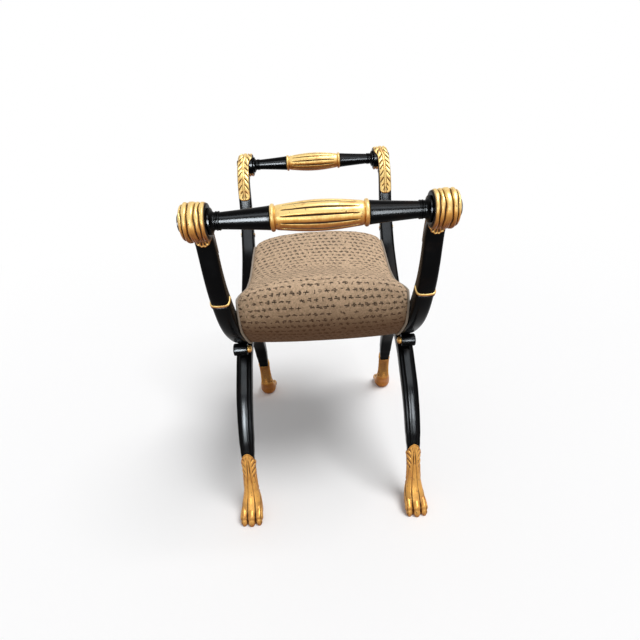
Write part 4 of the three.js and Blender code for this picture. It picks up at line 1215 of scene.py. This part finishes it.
def carved_paw(paw):
    """Tendons, toes, hair strokes and a border cut into the plain foot."""
    points = paw.points
    normals = point_normals(paw)
    x, y, z = points.T
    inner, outer, width = (np.interp(z, GROOVE_ROWS[:, 0], GROOVE_ROWS[:, k]) for k in (1, 2, 3))
    side = np.arcsin(np.clip(np.abs(x) / width, 0, 1))
    front = smooth(-0.25, 0.2, normals[:, 1])
    above = sock_height(x, y) - z
    height = np.zeros(len(points))
    low = smooth(60 * mm, 40 * mm, z)
    # grooves between tendons, deeper between the toes
    inner_line = (side - np.arcsin(inner / width)) * width
    outer_line = (side - np.arcsin(np.clip(outer / width, 0, 0.97))) * width
    fade = smooth(6 * mm, 22 * mm, above)
    inner_groove = ridge(inner_line, 1.15 * mm - 0.25 * mm * low) * fade
    outer_groove = ridge(outer_line, 1.3 * mm) * smooth(118 * mm, 98 * mm, z)
    height -= (1.5 * mm + 0.9 * mm * low) * inner_groove * front
    height -= (1.3 * mm + 0.4 * mm * low) * outer_groove * front
    # thin pair of lines that splits the middle tendon near its top
    split = ridge(side - 0.16 - 0.1 * smooth(120 * mm, 150 * mm, z), 0.045)
    split = split * smooth(100 * mm, 116 * mm, z) * smooth(7 * mm, 14 * mm, above)
    height -= 0.8 * mm * split * front
    # hair strokes down and inwards at both sides, and closer ones all over the heel side
    round_side = np.where(normals[:, 1] > 0, side, math.pi - side)
    behind = smooth(1.5, 1.9, round_side)
    pitch = np.where(normals[:, 1] > 0, FRONT_HAIR_PITCH, HEEL_HAIR_PITCH)
    phase = (above + HAIR_RISE * side) / pitch
    stroke = ridge((phase % 1 - 0.5) * pitch, 2.7 * mm + 0.4 * mm * behind)
    zone = smooth(0.36, 0.6, round_side)
    hair_end = 92 * mm - 50 * mm * behind
    band = smooth(3 * mm, 6 * mm, above) * smooth(hair_end, hair_end + 16 * mm, z)
    height -= (1.8 * mm + 0.6 * mm * behind) * stroke * zone * band
    # gouges that fan out below the border
    fan = np.abs(np.sin(side * 7)) ** 5 * smooth(0.75, 0.6, side) * front
    height -= 0.9 * mm * fan * smooth(3.5 * mm, 6 * mm, above) * smooth(20 * mm, 12 * mm, above)
    height = np.maximum(height, -1.5 * mm - 2 * mm * smooth(14 * mm, 30 * mm, above))
    # border under the edge, lower behind, and a ridge down the heel
    height += SOCK_BORDER * (1 - 0.5 * behind) * ridge(above - 1.4 * mm, 1.5 * mm)
    heel_zone = smooth(30 * mm, 50 * mm, z) * smooth(80 * mm, 60 * mm, z)
    height += 1.6 * mm * ridge(side, 0.22) * behind * heel_zone
    foot = smooth(2 * mm, 5 * mm, z)
    moved = points + normals * (height * foot)[:, None]
    moved[:, 2] = np.maximum(moved[:, 2], 0)
    # Creases between the toes count as hollows, so the gilding is darkened there as painted shade
    carving = np.clip(1 + height / FULL_PAW_HOLLOW, 0, 1) * (1 - 0.9 * hollowness(paw))
    # the toes are darker than the ankle, lower down on the front
    carving *= 1 - 0.42 * smooth(56 * mm, 40 * mm, z) * (1 - behind)
    return Shape(moved, paw.faces, carving)


FULL_CREASE = 0.5 * mm


def hollowness(shape):
    """0 on open faces, up to 1 in the creases between toes."""
    flat = relaxed(shape, 8)
    normals = point_normals(shape)
    lift = np.einsum("ij,ij->i", flat.points - shape.points, normals)
    return np.clip(lift / FULL_CREASE, 0, 1)


# Seat
PANEL_LOW = CROSS_HEIGHT - 1 * mm
PANEL_HEIGHT = 163 * mm
SEAT_HALF_LENGTH = 178 * mm
SEAT_CROWN = 38 * mm
SEAT_END_BULGE = 12 * mm
SEAT_UNDER_BULGE = 12 * mm
CROWN_POWER = 0.45
PIPING_RADIUS = 2.4 * mm
PANEL_SHARES = [
    (0.0, 0.798), (0.24, 0.818), (0.47, 0.882), (0.72, 0.955), (0.88, 0.992), (0.955, 0.996),
    (0.99, 0.935), (1.0, 0.828), (0.985, 0.7), (0.925, 0.56), (0.79, 0.41), (0.66, 0.282),
    (0.49, 0.141), (0.28, 0.043), (0.0, 0.0),
]


def panel_outline(count):
    """Closed outline of a side panel from the middle of its top: points, outward directions, and
    lengths round it."""
    half = [(y * SEAT_HALF_LENGTH, PANEL_LOW + z * PANEL_HEIGHT) for y, z in PANEL_SHARES]
    mirrored = [(-half[1][0], half[1][1])] + half + [(-half[-2][0], half[-2][1])]
    dense = np.array([catmull_rom(mirrored, (1 + t * (len(half) - 1)) / (len(half) + 1))
                      for t in np.linspace(0, 1, 400)])
    other = dense[1:-1][::-1] * np.array([-1, 1])
    loop = np.vstack([dense, other])
    closed = np.vstack([loop, loop[:1]])
    lengths = running_lengths(closed)
    marks = np.linspace(0, lengths[-1], count, endpoint=False)
    points = np.stack(follow(marks, lengths, closed), 1)
    outward = quarter_turned(np.roll(points, -1, axis=0) - np.roll(points, 1, axis=0))
    if outward[0, 1] < 0:
        outward = -outward
    return points, outward, marks


SEAM_PLACE = SEAT_HALF_WIDTH - PIPING_RADIUS * 2 - FIT_GAP
UNDER_BULGE_START = COVER_HIGH.y + 4 * mm  # past the dust cover
UNDER_BULGE_FULL = COVER_HIGH.y + 40 * mm


def cushion_ring(x, inset, shrink):
    points, outward, _ = panel_outline(160)
    fullness = max(1 - (x / SEAM_PLACE) ** 2, 0) ** CROWN_POWER
    up = np.clip(outward[:, 1], 0, None)
    down = np.clip(outward[:, 1], None, 0)
    drop = SEAT_UNDER_BULGE * smooth(UNDER_BULGE_START, UNDER_BULGE_FULL, np.abs(points[:, 0]))
    lift = (SEAT_CROWN * np.sqrt(up) + drop * down) * fullness
    ring = np.zeros((len(points), 3))
    ring[:, 0] = x
    ring[:, 1] = points[:, 0] + outward[:, 0] * (SEAT_END_BULGE * fullness - inset - shrink)
    ring[:, 2] = points[:, 1] + lift - outward[:, 1] * (inset + shrink)
    return ring


CUSHION_START_SHRINK = 2.5 * mm  # the cloth swells back by about as much
CUSHION_VOXEL = 5 * mm
SWELL_CAP = 7 * mm
CLOTH_FRAMES = 20
CLOTH_SETTINGS = {
    "quality": 6, "mass": 0.3, "use_pressure": True, "uniform_pressure_force": 4.0,
    "tension_stiffness": 12, "compression_stiffness": 8, "bending_stiffness": 0.3,
    "vertex_group_mass": "held",
}


def cushion_shape():
    stations = [share * SEAM_PLACE for share in np.sin(np.linspace(0, math.pi / 2, 26))]
    half = [cushion_ring(x, 0, CUSHION_START_SHRINK * (x < SEAM_PLACE)) for x in stations]
    half.append(cushion_ring(SEAM_PLACE + 0.4 * mm, PIPING_RADIUS * 0.8, 0))
    half.append(cushion_ring(SEAT_HALF_WIDTH - 0.5 * mm, PIPING_RADIUS + FIT_GAP, 0))
    other = [ring * np.array([-1, 1, 1]) for ring in half[1:][::-1]]
    return loft(other + half)


def add_cushion():
    shape = remeshed(cushion_shape(), CUSHION_VOXEL)
    obj = mesh_object("seat_cushion_cloth", shape)
    swell(obj)
    division = obj.modifiers.new("smooth", "SUBSURF")
    division.levels = 1
    finished = shape_of(obj)
    remove(obj)
    piece = add_piece("upholstered_seat", finished, SEAT_CLOTH, ["seat_cushion"],
                      180 * deg)
    mark_cloth(piece)


def swell(obj):
    """Cloth under a little pressure, held along both seams, so that the fabric draws from them."""
    start = shape_of(obj)
    seam = SEAT_HALF_WIDTH - PIPING_RADIUS * 2
    group = obj.vertex_groups.new(name="held")
    for i, point in enumerate(start.points):
        hold = float(smooth(seam - 16 * mm, seam - 3 * mm, abs(point[0])))
        if hold > 0:
            group.add([i], hold, "REPLACE")
    cloth = obj.modifiers.new("cloth", "CLOTH")
    for key, value in CLOTH_SETTINGS.items():
        setattr(cloth.settings, key, value)
    cloth.settings.effector_weights.gravity = 0
    cloth.point_cache.frame_start = 1
    cloth.point_cache.frame_end = CLOTH_FRAMES
    scene = bpy.context.scene
    for number in range(1, CLOTH_FRAMES + 1):
        scene.frame_set(number)
    swollen = shape_of(obj)
    obj.modifiers.clear()
    scene.frame_set(1)
    move = swollen.points - start.points
    length = np.linalg.norm(move, axis=1)[:, None]
    move *= np.minimum(1, SWELL_CAP / np.maximum(length, 1e-9))
    obj.data.vertices.foreach_set("co", (start.points + move).ravel())
    obj.data.update()


SIDE_PANEL_DEPTH = 8 * mm  # how far the flat side panels lie within the piping
MEASURED_RINGS = 12  # from the middle of the seat to its seam
MEASURED_SHARE = 0.969  # of the seat's half width


def mark_cloth(piece):
    """Lengths of cloth to each point: round the seat from the middle of its top, and across it.
    The side panels are pieces of their own, with level rows."""
    rings = [cushion_ring(share * SEAT_HALF_WIDTH * MEASURED_SHARE, 0, 0)
             for share in np.linspace(0, 1, MEASURED_RINGS)]
    measured = rings[MEASURED_RINGS // 2]
    steps = np.linalg.norm(np.diff(np.vstack([measured, measured[:1]]), axis=0), axis=1)
    marks = np.append(0, np.cumsum(steps))
    count = len(measured)
    tree = search_tree([pair for ring in rings for pair in enumerate(ring)])
    along = np.zeros(len(piece.data.vertices), np.float32)
    across = np.zeros(len(piece.data.vertices), np.float32)
    for i, vertex in enumerate(piece.data.vertices):
        place = np.array([abs(vertex.co.x), vertex.co.y, vertex.co.z])
        if abs(vertex.normal.x) > 0.8 and place[0] > SEAT_HALF_WIDTH - SIDE_PANEL_DEPTH:
            across[i], along[i] = vertex.co.y, vertex.co.z
            continue
        across[i] = vertex.co.x
        near, nearest, _ = tree.find(place)
        ring = rings[int(np.argmin([abs(r[0, 0] - near.x) for r in rings]))]
        here, after, before = ring[nearest], ring[(nearest + 1) % count], ring[nearest - 1]
        step = (after - before) / 2
        rest = float(np.dot((place - here)[1:], step[1:]) / np.dot(step[1:], step[1:]))
        mark = marks[nearest] + max(min(rest, 1), -1) * steps[nearest]
        along[i] = mark if mark < marks[-1] / 2 else mark - marks[-1]
    for name, lengths in (("cloth_along", along), ("cloth_across", across)):
        attribute = piece.data.attributes.new(name, "FLOAT", "POINT")
        attribute.data.foreach_set("value", lengths)


PIPING_TWIST_PITCH = 3.1 * mm
PIPING_TWIST_SHARE = 0.04  # of the radius


def piping_shape():
    rings = []
    for (y, z), (out_y, out_z), mark in zip(*panel_outline(320)):
        twist = math.sin(mark / PIPING_TWIST_PITCH * 2 * math.pi)
        radius = PIPING_RADIUS * (1 + PIPING_TWIST_SHARE * twist)
        rings.append(ellipse_ring((SEAT_HALF_WIDTH - PIPING_RADIUS, y, z), (radius, 0, 0),
                                  (0, out_y * radius, out_z * radius), 14))
    return loft(rings, closed=True)


LINING_LIFT = 1.4 * mm  # into the seat from the panels' lower edge
LINING_SAG = 0.54 * mm
LINING_THICKNESS = 0.7 * mm
PUCKER_HEIGHT = 0.25 * mm
PUCKER_PITCH = 11 * mm
HEM_THICKNESS = 0.5 * mm


def add_dust_cover():
    """Black lining stretched over the opening in the seat's underside, with its edge turned in."""
    across, along = 61, 41
    half_x, half_y = COVER_HIGH.x, COVER_HIGH.y
    xs = np.linspace(-half_x, half_x, across)
    ys = np.linspace(-half_y, half_y, along)
    grid_x, grid_y = np.meshgrid(xs, ys, indexing="ij")
    points, outward, _ = panel_outline(720)
    under = points[outward[:, 1] < 0]
    order = np.argsort(under[:, 0])
    base = np.interp(grid_y, under[order, 0], under[order, 1])
    edge = np.minimum(half_x - np.abs(grid_x), half_y - np.abs(grid_y))
    sag = LINING_SAG * smooth(0, 40 * mm, edge)
    pucker = PUCKER_HEIGHT * np.cos(grid_x / PUCKER_PITCH * 2 * math.pi)
    pucker = pucker * ridge(half_y - np.abs(grid_y), 12 * mm)
    hem = HEM_THICKNESS * (1 - smooth(7 * mm, 8.5 * mm, edge))
    low = base + LINING_LIFT - sag + pucker - hem
    bottom = np.stack([grid_x, grid_y, low], axis=2)
    top = np.stack([grid_x, grid_y, low + LINING_THICKNESS + hem], axis=2)
    shape = loft(np.concatenate([bottom, top[:, ::-1]], axis=1))
    cover = add_piece("lining_under_seat", shape, LINING, ["seat_dust_cover"])


# The stool
GILT_BAND_LENGTH = 5.5 * mm
GILT_BAND_PROUD = 2 * mm
AT_FRAME = (FRAME_X, 0, 0)
AT_ROLL = (FRAME_X, *roll_centre)
AT_RAIL = (0, RAIL_Y, RAIL_Z)
for piece, shape, finish, node, shift in (
        ("ebonised_upright", upright_shape(), LACQUER, "upright", AT_FRAME),
        ("gilt_scroll_leaf", leaf_shape(), GILDING, "scroll_leaf", AT_FRAME),
        ("ebonised_leg", leg_shape(), LACQUER, "leg", AT_FRAME),
        ("gilt_paw", paw_shape(), GILDING, "paw_foot", AT_FRAME),
        ("gilt_upright_band", band_shape(0, GILT_BAND_LENGTH, GILT_BAND_PROUD), GILDING,
         "upright_band", AT_FRAME),
        ("crotch_roll", roll_shape(), LACQUER, "leg_roll", AT_ROLL),
        ("gilt_roll_button", roll_button_shape(), GILDING, "roll_button", AT_ROLL),
        ("turned_shaft", shaft_shape(), LACQUER, "rail_shaft", AT_RAIL),
        ("end_button", end_button_shape(), LACQUER, "rail_end_button", AT_RAIL)):
    slot = "ebonised_wood" if finish == LACQUER else "gilt_wood"
    add_at_corners(piece, shape, finish, node, shift)
for end_name, end in ENDS.items():
    add_piece(f"fluted_barrel_{end_name}", barrel_shape().placed(1, end, (0, RAIL_Y, RAIL_Z)),
              GILDING, [f"rail_barrel_{end_name}"])
for side_name, side in SIDES.items():
    add_piece(f"seat_piping_cord_{side_name}", piping_shape().placed(side), PIPING_CLOTH,
              [f"seat_piping_{side_name}"])
add_cushion()
add_dust_cover()

NODE_FINISHES = {
    "leg_dowel": BEECH, "cross_dowel": BEECH, "seat_board": BEECH,
    "seat_end_rail": BEECH, "seat_webbing": WEBBING, "seat_screw": STEEL,
}
for node_name, node in frame["nodes"].items():
    for stem, finish in NODE_FINISHES.items():
        if node_name.startswith(stem):
            node.data.materials.clear()
            node.data.materials.append(finish)


# Floor, light and camera
FLOOR_HALF_SIZE = 40.0


def add_floor():
    corners = [(x * FLOOR_HALF_SIZE, y * FLOOR_HALF_SIZE, 0)
               for x, y in ((-1, -1), (1, -1), (1, 1), (-1, 1))]
    floor = mesh_object("studio_floor", Shape(corners, [(0, 1, 2, 3)]))
    floor.data.materials.append(pale_floor())


WINDOW_TINT = (0.86, 0.94, 1.0)
KEY_STRENGTH = 2.25
KEY_SOFTNESS = 30 * deg
KEY_DIRECTION = (-0.16, 0.1, -0.42)
AMBIENT_STRENGTH = 0.35  # on surfaces; the camera and reflections see full white


def add_softbox(name, place, target, size, watts, pieces):
    """Lamp that only shows as a reflection, in the pieces of one finish."""
    light = bpy.data.lights.new(name, "AREA")
    light.shape = "RECTANGLE"
    light.size, light.size_y = size
    light.energy = watts
    light.color = WINDOW_TINT
    lamp = linked(light, place, target)
    lamp.visible_diffuse = False
    lamp.light_linking.receiver_collection = pieces


def add_key_light():
    """Broad soft light from high on the right in front, parallel like a large window's."""
    light = bpy.data.lights.new("key_light", "SUN")
    light.energy = KEY_STRENGTH
    light.angle = KEY_SOFTNESS
    linked(light, target=KEY_DIRECTION)


def add_world():
    """White surroundings, dimmer as light than to the eye."""
    recipe = Recipe(bpy.data.worlds.new("studio"))
    bpy.context.scene.world = recipe.holder
    strength = recipe.node("Mix", {}, {"Factor": recipe.seen(), "A": AMBIENT_STRENGTH, "B": 1.0})
    white = recipe.node("Background", {}, {"Color": rgb(1, 1, 1), "Strength": strength})
    recipe.output(white, "World")


def add_camera():
    camera = bpy.data.cameras.new("camera")
    camera.lens = LENS
    camera.clip_end = 50
    obj = linked(camera)
    turn = Matrix.Identity(4)
    for angle, axis in ((CAMERA_YAW, "Z"), (math.pi / 2 - CAMERA_PITCH, "X"), (CAMERA_ROLL, "Z")):
        turn = turn @ Matrix.Rotation(angle, 4, axis)
    obj.matrix_world = Matrix.Translation(CAMERA_PLACE) @ turn
    bpy.context.scene.camera = obj


add_floor()
add_world()
add_key_light()
# Softboxes: place, target, size, and watts for the lacquer; the brighter gold takes a small share
SOFTBOXES = {
    "high_window": ((0, -1.65, 2.45), (0, -0.2, 0.6), (2.8, 0.8), 215),
    "left_window": ((-0.56, -2.2, 0.85), (-0.1, 0, 0.4), (0.45, 1.0), 680),
    "right_window": ((0.6, -2.2, 0.85), (0.1, 0, 0.4), (0.4, 1.0), 310),
}
GILDING_LAMP_SHARE = 0.0106
for finish, share in ((LACQUER, 1), (GILDING, GILDING_LAMP_SHARE)):
    pieces = bpy.data.collections.new(f"{finish.name}_pieces")
    for piece in list(bpy.context.scene.collection.all_objects):
        if finish.name in [slot.name for slot in piece.material_slots]:
            pieces.objects.link(piece)
    for name, (place, target, size, watts) in SOFTBOXES.items():
        add_softbox(f"{name}_on_{finish.name}", place, target, size, watts * share, pieces)
add_camera()
bpy.context.scene.view_settings.view_transform = "Standard"
